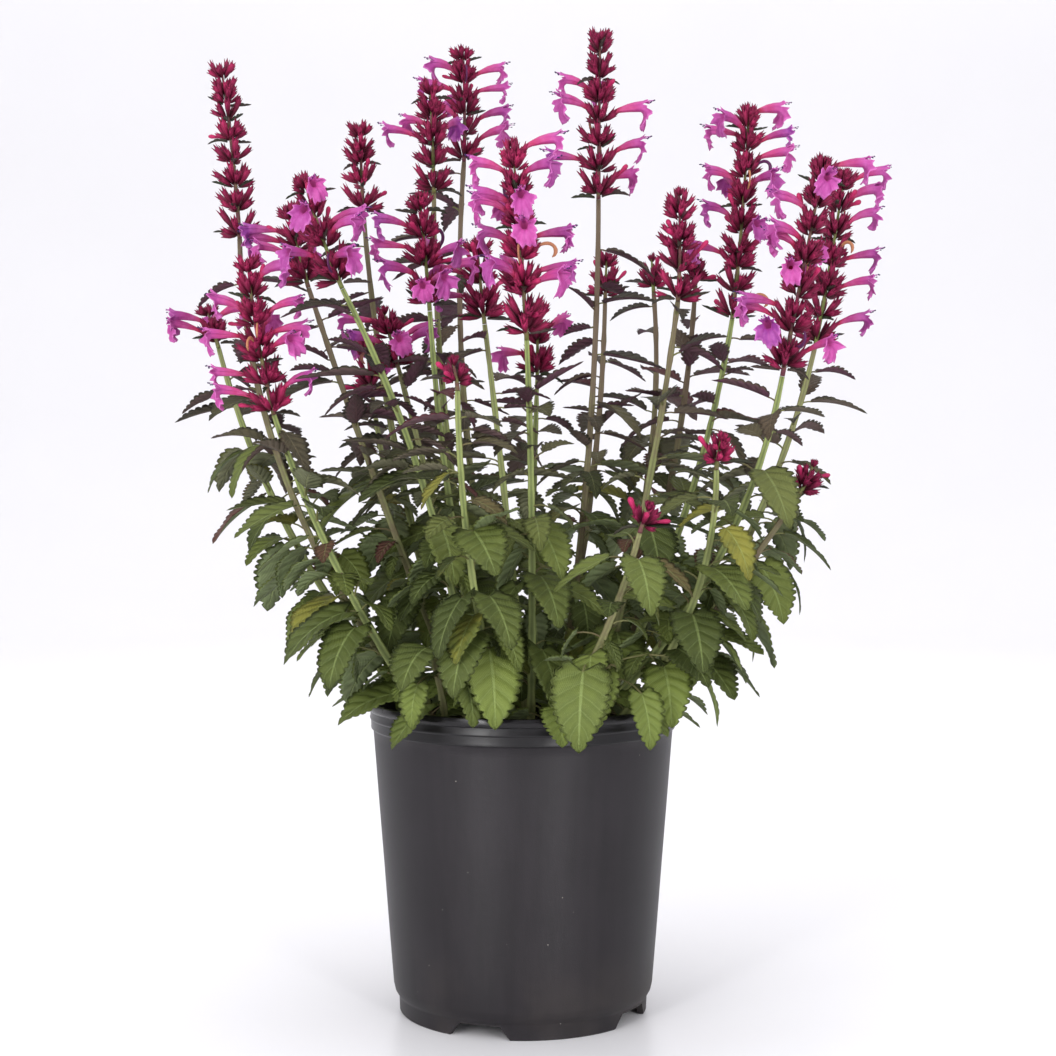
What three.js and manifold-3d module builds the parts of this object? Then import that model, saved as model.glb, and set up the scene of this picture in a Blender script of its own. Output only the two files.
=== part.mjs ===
// Potted agastache: a clump of flowering stems in a black nursery pot, in millimetres, +Z up.
// The origin is the centre of the pot's foot on the surface that it stands on. The viewer stands at -Y.
import * as THREE from "three";
import { mergeVertices } from "three/addons/utils/BufferGeometryUtils.js";
import Module from "manifold-3d";

const wasm = await Module();
wasm.setup();

// Nursery pot
const RIM_RADIUS = 82.5;
const POT_HEIGHT = 165;
const BAND_RADIUS = 81.2;
const BAND_LOW = 151;
const FOOT_RADIUS = 66.2;
const FOOT_HEIGHT = 8.8;
const POT_WALL = 1.6;
const FLOOR_LIFT = 5;
const POT_SIDES = 26;
const NOTCH_TURNS = [-20, 61, 151, -110]; // degrees from the front, positive to the right
const NOTCH_INNER = 54;

// Potting mix, and the straight peg with which each stem stands in it
const SOIL_TOP = 150;
const SEAT_GAP = 0.3;
const PEG_DEPTH = 12;
const PEG_RISE = 1.5;

// Stems, square as in the mint family
const STEM_HALF_AT_FOOT = 1.9;
const STEM_HALF_AT_NECK = 1.2;
const STEM_RINGS = 5;

// Leaves
const BLADE_THICKNESS = 1.2;
const PETIOLE_HALF = 0.75;
const LEAF_CLEARANCE = 0.4;
const BROAD_LEAF = { length: 39, half: 13.5, petiole: 11, nod: 44, swell: 0.34, taper: 0.86, fold: 0.14 };
const NARROW_LEAF = { length: 37, half: 7, petiole: 4, nod: 10, swell: 0.54, taper: 1.1, fold: 0.34 };
const FIRST_PAIR = 22;
const PAIR_STEP = 32;
const LAST_PAIR = 10;
const MOST_INWARD = 0.24;
// Where a leaf finds its first place taken, it turns to the next of these: [turn, lift, share of its size]
const LEAF_PLACES = [
  [0, 0, 1], [15, 8, 1], [-15, -8, 1], [30, -12, 1], [-30, 12, 1], [46, 6, 0.92], [-46, -6, 0.92],
  [8, -28, 0.9], [-8, 26, 0.9], [64, -14, 0.85], [-64, 14, 0.85], [24, 40, 0.8], [-24, -40, 0.8],
];

// Flower heads
const AXIS_SIDES = 5;
const AXIS_RADIUS = 2.6;
const WHORL_STEP = 9.5;
const BARE_STEP = 4;
const CALYX_REACH = 13.4; // in a head of full size: the calyces of a short one are smaller
const COROLLA = { tube: 13, throat: 2.8, lip: 7.6, spread: 4.4, forward: 4.6 };

// Each flowering stem: where it stands in the mix, a point on its way up, the neck under its head, and the
// head's tip.
// apart: the share of the head, from below, in which its whorls stand apart.
// flowers: the open corollas, as share of the head's length and turn, 0 to the right and -90 to the viewer.
const STEMS = [
  { name: "a", foot: [-46, 8], bend: [-132, 0, 300], neck: [-151, 10, 410], tip: [-161, 15, 501],
    apart: 0.7, flowers: [] },
  { name: "b", foot: [-44, -30], bend: [-104, -45, 258], neck: [-125, -55, 315], tip: [-137, -62, 391],
    apart: 0.36, flowers: [[0.57, 180], [0.44, 196], [0.72, 2], [0.55, -12], [0.4, 16], [0.06, 198],
      [0.06, -6], [0.3, -60], [0.24, 184], [0.5, 90]] },
  { name: "c", foot: [-55, 26], bend: [-141, 34, 280], neck: [-167, 40, 353], tip: [-174, 45, 374],
    apart: 0, flowers: [[0.5, 185], [0.1, 205], [0.25, 10], [0.3, 110]] },
  { name: "d", foot: [-28, -4], bend: [-84, -12, 300], neck: [-112, -12, 382], tip: [-122, -8, 424],
    apart: 0, flowers: [[0.42, 182], [0.62, 168], [0.28, 204], [0.2, 100]] },
  { name: "e", foot: [-25, -38], bend: [-54, -54, 292], neck: [-89, -70, 377], tip: [-107, -74, 429],
    apart: 0, flowers: [[0.48, 5], [0.32, -16], [0.4, -95], [0.66, -62], [0.16, -130], [0.12, -40],
      [0.3, 95]] },
  { name: "f", foot: [-32, 38], bend: [-76, 56, 325], neck: [-90, 72, 431], tip: [-92, 75, 478],
    apart: 0.6, flowers: [] },
  { name: "g", foot: [-20, 12], bend: [-50, 14, 277], neck: [-66, 16, 338], tip: [-75, 18, 372],
    apart: 0, flowers: [[0.66, 178], [0.4, 192], [0.3, 0], [0.12, -22], [0.2, -85], [0.2, 80]] },
  { name: "h", foot: [-15, 30], bend: [-45, 40, 340], neck: [-49, 44, 438], tip: [-51, 46, 495],
    apart: 0.3, flowers: [[0.34, 182], [0.5, 155], [0.4, 70]] },
  { name: "i", foot: [-16, -18], bend: [-42, -20, 300], neck: [-48, -26, 369], tip: [-53, -30, 428],
    apart: 0, flowers: [[0.55, 178], [0.38, 196], [0.2, 184], [0.08, -88], [0.36, -28], [0.15, -55],
      [0.18, 2], [0.35, 85]] },
  { name: "j", foot: [-4, 50], bend: [-35, 74, 350], neck: [-34, 92, 462], tip: [-35, 98, 529],
    apart: 0.5, flowers: [[0.5, 184], [0.64, 168], [0.66, 2], [0.52, 14], [0.26, 0], [0.1, -12],
      [0.45, 95], [0.2, 190]] },
  { name: "k", foot: [2, -6], bend: [-12, -12, 295], neck: [-20, -13, 363], tip: [-24, -11, 406],
    apart: 0, flowers: [[0.42, 160], [0.16, 172], [0.3, 25]] },
  { name: "l", foot: [4, -48], bend: [4, -66, 290], neck: [2, -86, 351], tip: [-5, -92, 447],
    apart: 0, flowers: [[0.86, 2], [0.78, -18], [0.5, -2], [0.41, 14], [0.78, 184], [0.6, 170], [0.5, 190],
      [0.62, -84], [0.4, -98], [0.2, -150], [0.18, -30], [0.36, 178], [0.28, 0],
      [0.55, 90], [0.3, 100]] },
  { name: "m", foot: [18, 6], bend: [36, 4, 312], neck: [40, 5, 430], tip: [41, 10, 518],
    apart: 0.5, flowers: [[0.56, 180], [0.4, 194], [0.48, 0], [0.2, 184], [0.12, 0], [0.06, 24],
      [0.5, 88]] },
  { name: "n", foot: [16, 56], bend: [43, 78, 316], neck: [47, 96, 383], tip: [48, 98, 408],
    apart: 0, flowers: [] },
  { name: "o", foot: [34, -24], bend: [70, -40, 312], neck: [78, -52, 372], tip: [78, -56, 427],
    apart: 0.4, flowers: [] },
  { name: "p", foot: [34, 46], bend: [75, 88, 316], neck: [76, 112, 389], tip: [75, 116, 409],
    apart: 0, flowers: [] },
  { name: "q", foot: [44, 20], bend: [88, 50, 316], neck: [96, 60, 389], tip: [95, 62, 404],
    apart: 0, flowers: [] },
  { name: "r", foot: [38, 2], bend: [100, 16, 308], neck: [113, 24, 368], tip: [122, 29, 483],
    apart: 0.3, flowers: [[0.92, 15], [0.82, 180], [0.84, 204], [0.57, 180], [0.76, 2], [0.71, -16],
      [0.38, 180], [0.27, 194], [0.3, -70], [0.6, -40], [0.5, 95]] },
  { name: "s", foot: [26, -44], bend: [108, -56, 262], neck: [129, -66, 334], tip: [149, -72, 441],
    apart: 0, flowers: [[0.9, 12], [0.65, 180], [0.57, 192], [0.3, 180], [0.42, -88], [0.1, -104],
      [0.02, -58], [0.17, 188], [0.72, -70], [0.46, 170], [0.55, 85]] },
  { name: "t", foot: [54, -4], bend: [130, 8, 272], neck: [157, 16, 354], tip: [173, 22, 447],
    apart: 0.2, flowers: [[0.88, 0], [0.73, -10], [0.56, 6], [0.4, -2], [0.23, -14], [0.06, 6],
      [0.35, 100]] },
  { name: "u", foot: [56, -22], bend: [116, -16, 234], neck: [144, -14, 273], tip: [152, -14, 290],
    apart: 0, flowers: [] },
  { name: "v", foot: [42, -42], bend: [88, -72, 232], neck: [94, -92, 288], tip: [96, -96, 303],
    apart: 0, flowers: [] },
  { name: "w", foot: [-8, -56], bend: [-28, -84, 262], neck: [-31, -104, 326], tip: [-33, -108, 339],
    apart: 0, flowers: [] },
  { name: "x", foot: [12, -58], bend: [44, -92, 218], neck: [56, -108, 258], tip: [60, -112, 270],
    apart: 0, flowers: [] },
  { name: "y", foot: [-36, 52], bend: [-76, 92, 268], neck: [-88, 106, 330], tip: [-92, 110, 362],
    apart: 0, flowers: [[0.5, 120], [0.2, 60]] },
  { name: "z", foot: [4, 62], bend: [6, 96, 270], neck: [8, 106, 338], tip: [8, 110, 380],
    apart: 0, flowers: [[0.5, 60], [0.3, 130]] },
];

// Short leafy shoots at the pot's edge
const SHOOTS = [
  { name: "front_left", foot: [-38, -52], bend: [-41, -57, 174], neck: [-45, -66, 195] },
  { name: "front_right", foot: [38, -56], bend: [42, -62, 174], neck: [48, -71, 194] },
  { name: "back_left", foot: [-52, 38], bend: [-57, 42, 176], neck: [-68, 50, 200] },
  { name: "back_right", foot: [50, 44], bend: [54, 48, 176], neck: [64, 57, 200] },
];

// The old leaves that hang in front, over the rim and at the sides: the plant, the height at which each
// leaves it, turn, pitch, length of petiole, droop, length and half width of blade
const OLD_NOD = 46;
const OLD_LEAVES = [
  ["front_left", 184, -112, -4, 24, -44, 23, 7.5],
  ["front_left", 188, -58, -2, 28, -46, 27, 8.5],
  ["x", 190, -98, 2, 28, -42, 42, 14.5],
  ["front_right", 190, -108, -2, 24, -44, 29, 9.5],
  ["front_right", 183, -62, -8, 29, -38, 29, 9.5],
  ["front_right", 193, -10, 0, 36, -44, 36, 9],
  ["b", 202, -122, 16, 17, -50, 38, 13],
  ["b", 190, -175, 20, 19, -46, 36, 12],
  ["front_left", 194, -84, 30, 8, -60, 36, 13],
  ["w", 202, -112, 22, 15, -56, 40, 13],
  ["w", 220, -60, 20, 14, -46, 34, 12],
  ["l", 228, -68, 26, 12, -50, 36, 11.5],
  ["v", 212, -80, 18, 13, -48, 36, 13],
  ["c", 292, 196, 20, 8, -50, 30, 8],
  ["a", 296, 212, 12, 8, -50, 34, 9],
  ["u", 238, -6, 22, 9, -75, 38, 4.5],
  ["u", 214, -14, 6, 8, -60, 32, 4],
  ["t", 268, -10, 10, 8, -64, 38, 5.5],
  ["b", 214, 186, -8, 8, -44, 28, 3.2],
];

const radians = (degrees) => (degrees * Math.PI) / 180;
const mix = (a, b, t) => a + (b - a) * t;
const vec = (x, y, z) => new THREE.Vector3(x, y, z);

// A repeatable row of draws from 0 to 1, one row for each seed
function draws(seed) {
  let state = seed >>> 0;
  return () => {
    state = (Math.imul(state, 1664525) + 1013904223) >>> 0;
    return state / 4294967296;
  };
}

// A closed mesh of shared points as a solid for joining and cutting
function solid(points, faces) {
  return new wasm.Manifold(
    new wasm.Mesh({
      numProp: 3,
      vertProperties: new Float32Array(points.flatMap((p) => [p.x, p.y, p.z])),
      triVerts: new Uint32Array(faces.flat()),
    }),
  );
}

function solidOfGeometry(geometry) {
  const bare = geometry.clone().deleteAttribute("normal").deleteAttribute("uv");
  const merged = mergeVertices(bare, 1e-3);
  return new wasm.Manifold(
    new wasm.Mesh({
      numProp: 3,
      vertProperties: merged.attributes.position.array,
      triVerts: new Uint32Array(merged.index.array),
    }),
  );
}

function geometryOf(made) {
  const mesh = made.getMesh();
  const geometry = new THREE.BufferGeometry();
  geometry.setAttribute("position", new THREE.BufferAttribute(mesh.vertProperties, 3));
  geometry.setIndex(new THREE.BufferAttribute(mesh.triVerts, 1));
  const flat = geometry.toNonIndexed();
  flat.computeVertexNormals();
  return flat;
}

// The point, and the direction of growth, at share t of a bow from start to end whose guide point is given
function bow(start, guide, end, t) {
  const at = start.clone().multiplyScalar((1 - t) * (1 - t));
  at.addScaledVector(guide, 2 * t * (1 - t)).addScaledVector(end, t * t);
  const along = guide.clone().sub(start).multiplyScalar(1 - t);
  along.addScaledVector(end.clone().sub(guide), t).normalize();
  return { at, along };
}

// Two directions across a line of growth, the first as near to +X as it can lie
function across(along) {
  const u = vec(0, 1, 0).cross(along).normalize();
  return [u, along.clone().cross(u)];
}

// A closed tube through rings of corners, each ring the same number
function loft(rings) {
  const n = rings[0].length;
  const faces = [];
  for (let r = 0; r + 1 < rings.length; r++)
    for (let i = 0; i < n; i++) {
      const a = r * n + i;
      const b = r * n + ((i + 1) % n);
      faces.push([a, b, b + n], [a, b + n, a + n]);
    }
  const last = (rings.length - 1) * n;
  for (let i = 1; i + 1 < n; i++) faces.push([0, i + 1, i], [last, last + i, last + i + 1]);
  return solid(rings.flat(), faces);
}

function squareRing(at, u, v, half) {
  return [[-1, -1], [1, -1], [1, 1], [-1, 1]].map(([a, b]) =>
    at.clone().addScaledVector(u, a * half).addScaledVector(v, b * half));
}

function pot() {
  const foot = [
    [FOOT_RADIUS - 3.4, 0], [FOOT_RADIUS - 0.6, 0], [FOOT_RADIUS, FOOT_HEIGHT],
    [FOOT_RADIUS + 2.1, FOOT_HEIGHT + 4],
  ];
  const band = [
    [BAND_RADIUS - 1.6, BAND_LOW], [BAND_RADIUS - 0.8, BAND_LOW + 2.4], [BAND_RADIUS + 0.2, 161],
    [RIM_RADIUS, 161.6], [RIM_RADIUS, POT_HEIGHT], [RIM_RADIUS - 3.1, POT_HEIGHT],
  ];
  const inside = [
    [BAND_RADIUS - 1.6 - POT_WALL, BAND_LOW], [FOOT_RADIUS + 0.4, FLOOR_LIFT + POT_WALL + 2],
    [FOOT_RADIUS - 2, FLOOR_LIFT + POT_WALL], [0, FLOOR_LIFT + POT_WALL],
  ];
  let shell = turned([[0, FLOOR_LIFT], [FOOT_RADIUS - 3.4, FLOOR_LIFT], ...foot, ...band, ...inside]);
  for (const turn of NOTCH_TURNS) shell = shell.subtract(notch(radians(turn - 90)));
  return shell;
}

// A closed profile of radius and height turned about the pot's axis
function turned(profile) {
  const points = [...profile, profile[0]].map(([r, z]) => new THREE.Vector2(r, z));
  return solidOfGeometry(new THREE.LatheGeometry(points, POT_SIDES).rotateX(Math.PI / 2));
}

// A cut through the foot with sloping ends, which runs inwards as a drain slot in the floor
function notch(turn) {
  const out = vec(Math.cos(turn), Math.sin(turn), 0);
  const side = vec(-Math.sin(turn), Math.cos(turn), 0);
  const top = FLOOR_LIFT + 2.2;
  const section = [[-18, -1], [18, -1], [11.5, top], [-11.5, top]];
  const ring = (distance) => section.map(([s, z]) =>
    out.clone().multiplyScalar(distance).addScaledVector(side, s * (distance / FOOT_RADIUS)).setZ(z));
  return loft([ring(NOTCH_INNER), ring(FOOT_RADIUS + 4)]);
}

function pottingMix(feet) {
  const low = FLOOR_LIFT + POT_WALL + SEAT_GAP;
  let fill = turned([
    [0, low], [FOOT_RADIUS - 2.6, low], [FOOT_RADIUS - 0.2, low + 2.2],
    [BAND_RADIUS - 1.6 - POT_WALL - 0.7, SOIL_TOP], [0, SOIL_TOP],
  ]);
  const half = STEM_HALF_AT_FOOT + SEAT_GAP;
  for (const [x, y] of feet) {
    const hole = [SOIL_TOP - PEG_DEPTH - SEAT_GAP, SOIL_TOP + 1].map((z) =>
      squareRing(vec(x, y, z), vec(1, 0, 0), vec(0, 1, 0), half));
    fill = fill.subtract(loft(hole));
  }
  return fill;
}

// The bow of a stem from the mix to its neck, through its bend
function stemBow(spec) {
  const start = vec(spec.foot[0], spec.foot[1], SOIL_TOP + PEG_RISE);
  const end = vec(...spec.neck);
  const bend = vec(...spec.bend);
  const t = bend.distanceTo(start) / (bend.distanceTo(start) + end.distanceTo(bend));
  const guide = bend.addScaledVector(start, -(1 - t) * (1 - t)).addScaledVector(end, -t * t);
  guide.divideScalar(2 * t * (1 - t));
  return { start, guide, end };
}

function stemTube(spec) {
  const { start, guide, end } = stemBow(spec);
  const peg = start.clone().setZ(SOIL_TOP - PEG_DEPTH);
  const rings = [peg, start].map((p) => squareRing(p, vec(1, 0, 0), vec(0, 1, 0), STEM_HALF_AT_FOOT));
  for (let i = 1; i <= STEM_RINGS; i++) {
    const t = i / STEM_RINGS;
    const { at, along } = bow(start, guide, end, t);
    rings.push(squareRing(at, ...across(along), mix(STEM_HALF_AT_FOOT, STEM_HALF_AT_NECK, t)));
  }
  return loft(rings);
}

// Where the leaves of a stem grow: opposite pairs, each pair turned a quarter from the last, broad below and
// narrow above
function leavesOf(spec, seed) {
  const draw = draws(seed);
  const { start, guide, end } = stemBow(spec);
  const length = start.distanceTo(end) * 1.03;
  const leaves = [];
  let i = 0;
  let s = FIRST_PAIR * mix(0.6, 1.2, draw());
  while (s < length - LAST_PAIR) {
    const { at } = bow(start, guide, end, s / length);
    const turn = 90 * i + 50 * draw();
    for (const side of [0, 1]) {
      const young = THREE.MathUtils.clamp((at.z - 225) / 130, 0, 1);
      const size = mix(0.82, 1.12, draw()) * (s > length - 45 ? 0.78 : 1);
      leaves.push({
        root: at,
        turn: turn + 180 * side + 24 * (draw() - 0.5),
        pitch: mix(14, 12, young) + 32 * (draw() - 0.5),
        droop: -mix(40, 24, young) + 28 * (draw() - 0.5),
        nod: mix(BROAD_LEAF.nod, NARROW_LEAF.nod, young) + 20 * (draw() - 0.5),
        roll: 34 * (draw() - 0.5),
        length: mix(BROAD_LEAF.length, NARROW_LEAF.length, young) * size,
        half: mix(BROAD_LEAF.half, NARROW_LEAF.half, young) * size,
        petiole: mix(BROAD_LEAF.petiole, NARROW_LEAF.petiole, young),
        swell: mix(BROAD_LEAF.swell, NARROW_LEAF.swell, young),
        taper: mix(BROAD_LEAF.taper, NARROW_LEAF.taper, young),
        fold: mix(BROAD_LEAF.fold, NARROW_LEAF.fold, young),
        young,
      });
    }
    i += 1;
    s += PAIR_STEP * mix(0.85, 1.1, draw());
  }
  return leaves;
}

// An old leaf on its long petiole, at the height where it leaves its plant
function oldLeaf(spec, height, shape) {
  const { start, guide, end } = stemBow(spec);
  let share = 0;
  while (bow(start, guide, end, share).at.z < height && share < 0.98) share += 0.01;
  const { swell, taper, fold } = BROAD_LEAF;
  const at = { root: bow(start, guide, end, share).at, roll: 0, young: 0, nod: OLD_NOD };
  return { ...at, swell, taper, fold, ...shape };
}

// The same leaf turned to another place, with the direction in which its petiole leaves the stem
function placed(leaf, [turn, lift, share]) {
  const azimuth = radians(leaf.turn + turn);
  return {
    ...leaf,
    out: vec(Math.cos(azimuth), Math.sin(azimuth), 0),
    side: vec(-Math.sin(azimuth), Math.cos(azimuth), 0),
    pitch: radians(leaf.pitch + lift),
    nod: radians(leaf.nod),
    droop: radians(leaf.droop),
    roll: radians(leaf.roll),
    length: leaf.length * share,
    half: leaf.half * share,
  };
}

// Half the blade's width at share u of its length, as a share of its widest
function bladeWidth(leaf, u) {
  const widest = leaf.swell / (leaf.swell + leaf.taper);
  const at = (t) => Math.pow(t, leaf.swell) * Math.pow(1 - t, leaf.taper);
  return at(u) / at(widest);
}

// A point of the blade, which nods from the end of its petiole: u along the midrib, which droops in an arc,
// v across from -1 to 1, and depth below
function bladePoint(leaf, u, v, depth = 0) {
  const first = leaf.pitch - leaf.nod;
  const climb = first + leaf.droop * u;
  const bend = Math.abs(leaf.droop) < 1e-4 ? 1e-4 : leaf.droop;
  const run = (leaf.length * (Math.sin(climb) - Math.sin(first))) / bend;
  const rise = (leaf.length * (Math.cos(first) - Math.cos(climb))) / bend;
  const at = petiolePoint(leaf, leaf.petiole).addScaledVector(leaf.out, run);
  at.z += rise;
  const up = leaf.out.clone().multiplyScalar(-Math.sin(climb)).setZ(Math.cos(climb));
  const [c, s] = [Math.cos(leaf.roll), Math.sin(leaf.roll)];
  const side = leaf.side.clone().multiplyScalar(c).addScaledVector(up, s);
  const normal = up.multiplyScalar(c).addScaledVector(leaf.side, -s);
  const half = leaf.half * (u > 0 && u < 1 ? bladeWidth(leaf, u) : 0) * v;
  return at.addScaledVector(side, half).addScaledVector(normal, leaf.fold * Math.abs(half) - depth);
}

function petiolePoint(leaf, distance) {
  const at = leaf.root.clone().addScaledVector(leaf.out, distance * Math.cos(leaf.pitch));
  at.z += distance * Math.sin(leaf.pitch);
  return at;
}

// Where the margin stands out and cuts in: share of the length, and share of the blade's width there
const BROAD_MARGIN = [[0.08, 0.98], [0.34, 1.06], [0.43, 0.84], [0.64, 1.1], [0.73, 0.84]];
const NARROW_MARGIN = [[0.15, 0.95], [0.48, 1.08], [0.57, 0.78]];

// A blade with its petiole as one closed solid: upper and lower faces meet in the toothed margin
function blade(leaf) {
  const broad = leaf.young < 0.55;
  const margin = broad ? BROAD_MARGIN : NARROW_MARGIN;
  const ribs = broad ? [0.33, 0.66] : [0.45];
  const points = [];
  const add = (p) => points.push(p) - 1;
  const strip = (distance, a) => petiolePoint(leaf, distance).addScaledVector(leaf.side, a * PETIOLE_HALF);
  const keel = petiolePoint(leaf, 0).sub(vec(0, 0, PETIOLE_HALF * 1.5));
  const tip = add(bladePoint(leaf, 1, 0, BLADE_THICKNESS / 2));
  const edges = [-1, 1].map((v) => [
    [-0.5, add(strip(0, v))], [0, add(strip(leaf.petiole, v))],
    ...margin.map(([u, share]) => [u, add(bladePoint(leaf, u, v * share))]), [1, tip],
  ]);
  const lower = [
    [-0.5, add(keel)], [0, add(bladePoint(leaf, 0, 0, PETIOLE_HALF * 1.5))],
    ...ribs.map((u) => [u, add(bladePoint(leaf, u, 0, BLADE_THICKNESS))]), [1, tip],
  ];
  const upper = [...ribs.map((u) => [u, add(bladePoint(leaf, u, 0))]), [1, tip]];
  const [left, right] = edges;
  const faces = [[left[0][1], right[0][1], lower[0][1]], [left[0][1], left[1][1], right[1][1]]];
  faces.push([left[0][1], right[1][1], right[0][1]], [left[1][1], upper[0][1], right[1][1]]);
  faces.push(...between(left.slice(1), upper, true), ...between(right.slice(1), upper, false));
  faces.push(...between(left, lower, false), ...between(right, lower, true));
  return solid(points, faces);
}

// Triangles between an edge and a rib that end at the same tip, advancing along whichever lags
function between(edge, rib, flipped) {
  const faces = [];
  let i = 0;
  let j = 0;
  while (i < edge.length - 1 || j < rib.length - 1) {
    const alongEdge = j === rib.length - 1 || (i < edge.length - 1 && edge[i + 1][0] <= rib[j + 1][0]);
    const next = alongEdge ? edge[i + 1][1] : rib[j + 1][1];
    const face = [edge[i][1], rib[j][1], next];
    if (new Set(face).size === 3) faces.push(flipped ? [face[1], face[0], face[2]] : face);
    if (alongEdge) i++;
    else j++;
  }
  return faces;
}

// The line of a head: it leaves the neck between the stem's own direction and the way to its tip
function headBow(spec) {
  const neck = stemBow(spec);
  const { along } = bow(neck.start, neck.guide, neck.end, 1);
  const start = neck.end.clone().addScaledVector(along, SEAT_GAP);
  const end = vec(...spec.tip);
  const length = start.distanceTo(end);
  const guide = start.clone().lerp(end, 0.25).addScaledVector(along, length * 0.25);
  return { start, guide, end, length, along };
}

// Where a head's whorls begin and end, closer together towards the tip, some with bare axis between them
function whorlsOf(spec, length) {
  const whorls = [];
  let s = 0;
  while (s < length - 5) {
    const share = s / length;
    if (share < spec.apart && s > 0) s += BARE_STEP;
    const step = Math.min(WHORL_STEP * mix(1, 0.6, share), length - 2 - s);
    whorls.push([s, s + step]);
    s += step;
  }
  return whorls;
}

// A head as one solid: a five-sided axis, a calyx drawn out of each side in every whorl, and open corollas
function head(spec) {
  const { start, guide, end, length, along: seat } = headBow(spec);
  const whorls = whorlsOf(spec, length);
  const bulk = Math.min(1, 0.4 + length / 65);
  const points = [];
  const faces = [];
  const calyces = [];
  const ring = (s) => {
    const { at, along } = bow(start, guide, end, s / length);
    const [u, v] = across(s === 0 ? seat : along);
    const radius = mix(AXIS_RADIUS, AXIS_RADIUS * 0.5, s / length);
    for (let i = 0; i < AXIS_SIDES; i++) {
      const turn = ((i + 0.35 * (s / WHORL_STEP)) * 2 * Math.PI) / AXIS_SIDES;
      const corner = at.clone().addScaledVector(u, radius * Math.cos(turn));
      points.push(corner.addScaledVector(v, radius * Math.sin(turn)));
    }
    return points.length - AXIS_SIDES;
  };
  const wall = (low, high, calyxAt) => {
    for (let i = 0; i < AXIS_SIDES; i++) {
      const [a, b] = [low + i, low + ((i + 1) % AXIS_SIDES)];
      const [c, d] = [high + ((i + 1) % AXIS_SIDES), high + i];
      if (!calyxAt) {
        faces.push([a, b, c], [a, c, d]);
        continue;
      }
      const middle = vec(0, 0, 0);
      for (const corner of [a, b, c, d]) middle.addScaledVector(points[corner], 0.25);
      const at = calyxTip(middle, calyxAt, i);
      const tip = points.push(at) - 1;
      calyces.push({ at, aim: at.clone().sub(calyxAt.at).normalize(), share: calyxAt.share });
      faces.push([a, b, tip], [b, c, tip], [c, d, tip], [d, a, tip]);
    }
  };
  let below = ring(0);
  let reached = 0;
  for (let i = 1; i + 1 < AXIS_SIDES; i++) faces.push([below, below + i + 1, below + i]);
  for (const [low, high] of whorls) {
    if (low > reached) {
      const bare = ring(low);
      wall(below, bare, null);
      below = bare;
    }
    const above = ring(high);
    const middle = bow(start, guide, end, (low + high) / 2 / length);
    wall(below, above, { ...middle, share: low / length, bulk });
    below = above;
    reached = high;
  }
  const top = points.push(end) - 1;
  for (let i = 0; i < AXIS_SIDES; i++) faces.push([below + i, below + ((i + 1) % AXIS_SIDES), top]);
  let made = solid(points, faces);
  for (const [share, turn] of spec.flowers) {
    const level = vec(Math.cos(radians(turn)), Math.sin(radians(turn)), 0);
    const facing = (calyx) => calyx.aim.clone().setZ(0).normalize().dot(level);
    const fit = (calyx) => facing(calyx) - 5 * Math.abs(calyx.share - share);
    const holder = calyces.reduce((best, calyx) => (fit(calyx) > fit(best) ? calyx : best));
    made = made.add(corolla(holder, level));
  }
  return made;
}

// The tip of the calyx that stands on one side of a whorl: every other one leans out further
function calyxTip(middle, whorl, i) {
  const out = middle.clone().sub(whorl.at).normalize();
  const lean = radians(mix(58, 40, whorl.share) + (i % 2 ? 12 : -12));
  const reach = CALYX_REACH * whorl.bulk * mix(1, 0.66, whorl.share) * (i % 3 ? 1 : 0.86);
  middle.addScaledVector(out, reach * Math.sin(lean));
  return middle.addScaledVector(whorl.along, reach * Math.cos(lean));
}

// An open corolla: a tube that leaves the tip of its calyx, turns level and widens, and a lip that hangs
function corolla(holder, level) {
  const side = vec(-level.y, level.x, 0);
  const start = holder.at.clone().addScaledVector(holder.aim, -1.5);
  const halfWay = start.clone().addScaledVector(holder.aim, COROLLA.tube / 2);
  const mouth = halfWay.addScaledVector(level, COROLLA.tube / 2);
  const lip = mouth.clone().addScaledVector(level, COROLLA.forward).add(vec(0, 0, -COROLLA.lip));
  const rings = [[start, holder.aim, 1], [mouth, level, COROLLA.throat]].map(([at, along, half]) => {
    const up = along.clone().cross(side).normalize();
    return [[-1, -0.8], [1, -0.8], [0, 1]].map(([a, b]) =>
      at.clone().addScaledVector(side, a * half).addScaledVector(up, b * half));
  });
  rings.push([[-COROLLA.spread, 0], [COROLLA.spread, 0], [0, 1.6]].map(([a, b]) =>
    lip.clone().addScaledVector(side, a).addScaledVector(level, b).add(vec(0, 0, b))));
  return loft(rings);
}

const FINISHES = {
  pot: { color: 0x2b2a2d, roughness: 0.45, metalness: 0 },
  mix: { color: 0x2a2019, roughness: 1, metalness: 0 },
  foliage: { color: 0x47572f, roughness: 0.6, metalness: 0 },
  bloom: { color: 0x8c2350, roughness: 0.6, metalness: 0 },
};
const agastache = new THREE.Group();
function addNode(name, made, finish) {
  const mesh = new THREE.Mesh(geometryOf(made), new THREE.MeshStandardMaterial(FINISHES[finish]));
  mesh.name = name;
  agastache.add(mesh);
}

const shell = pot();
const fill = pottingMix([...STEMS, ...SHOOTS].map((spec) => spec.foot));
addNode("pot", shell, "pot");
addNode("potting_mix", fill, "mix");

// Everything that a leaf keeps clear of
const taken = [];
const take = (made) => taken.push({ made, box: made.boundingBox() });
take(shell);
take(fill);
const plants = [...STEMS, ...SHOOTS].map((spec, i) => {
  return { spec, tube: stemTube(spec), blades: [], seed: 11 + 7 * i };
});
for (const plant of plants) {
  take(plant.tube);
  if (plant.spec.tip) {
    plant.head = head(plant.spec);
    take(plant.head);
  }
}

function boxesNear(a, b, gap) {
  return [0, 1, 2].every((k) => a.min[k] - gap < b.max[k] && b.min[k] - gap < a.max[k]);
}

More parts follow.
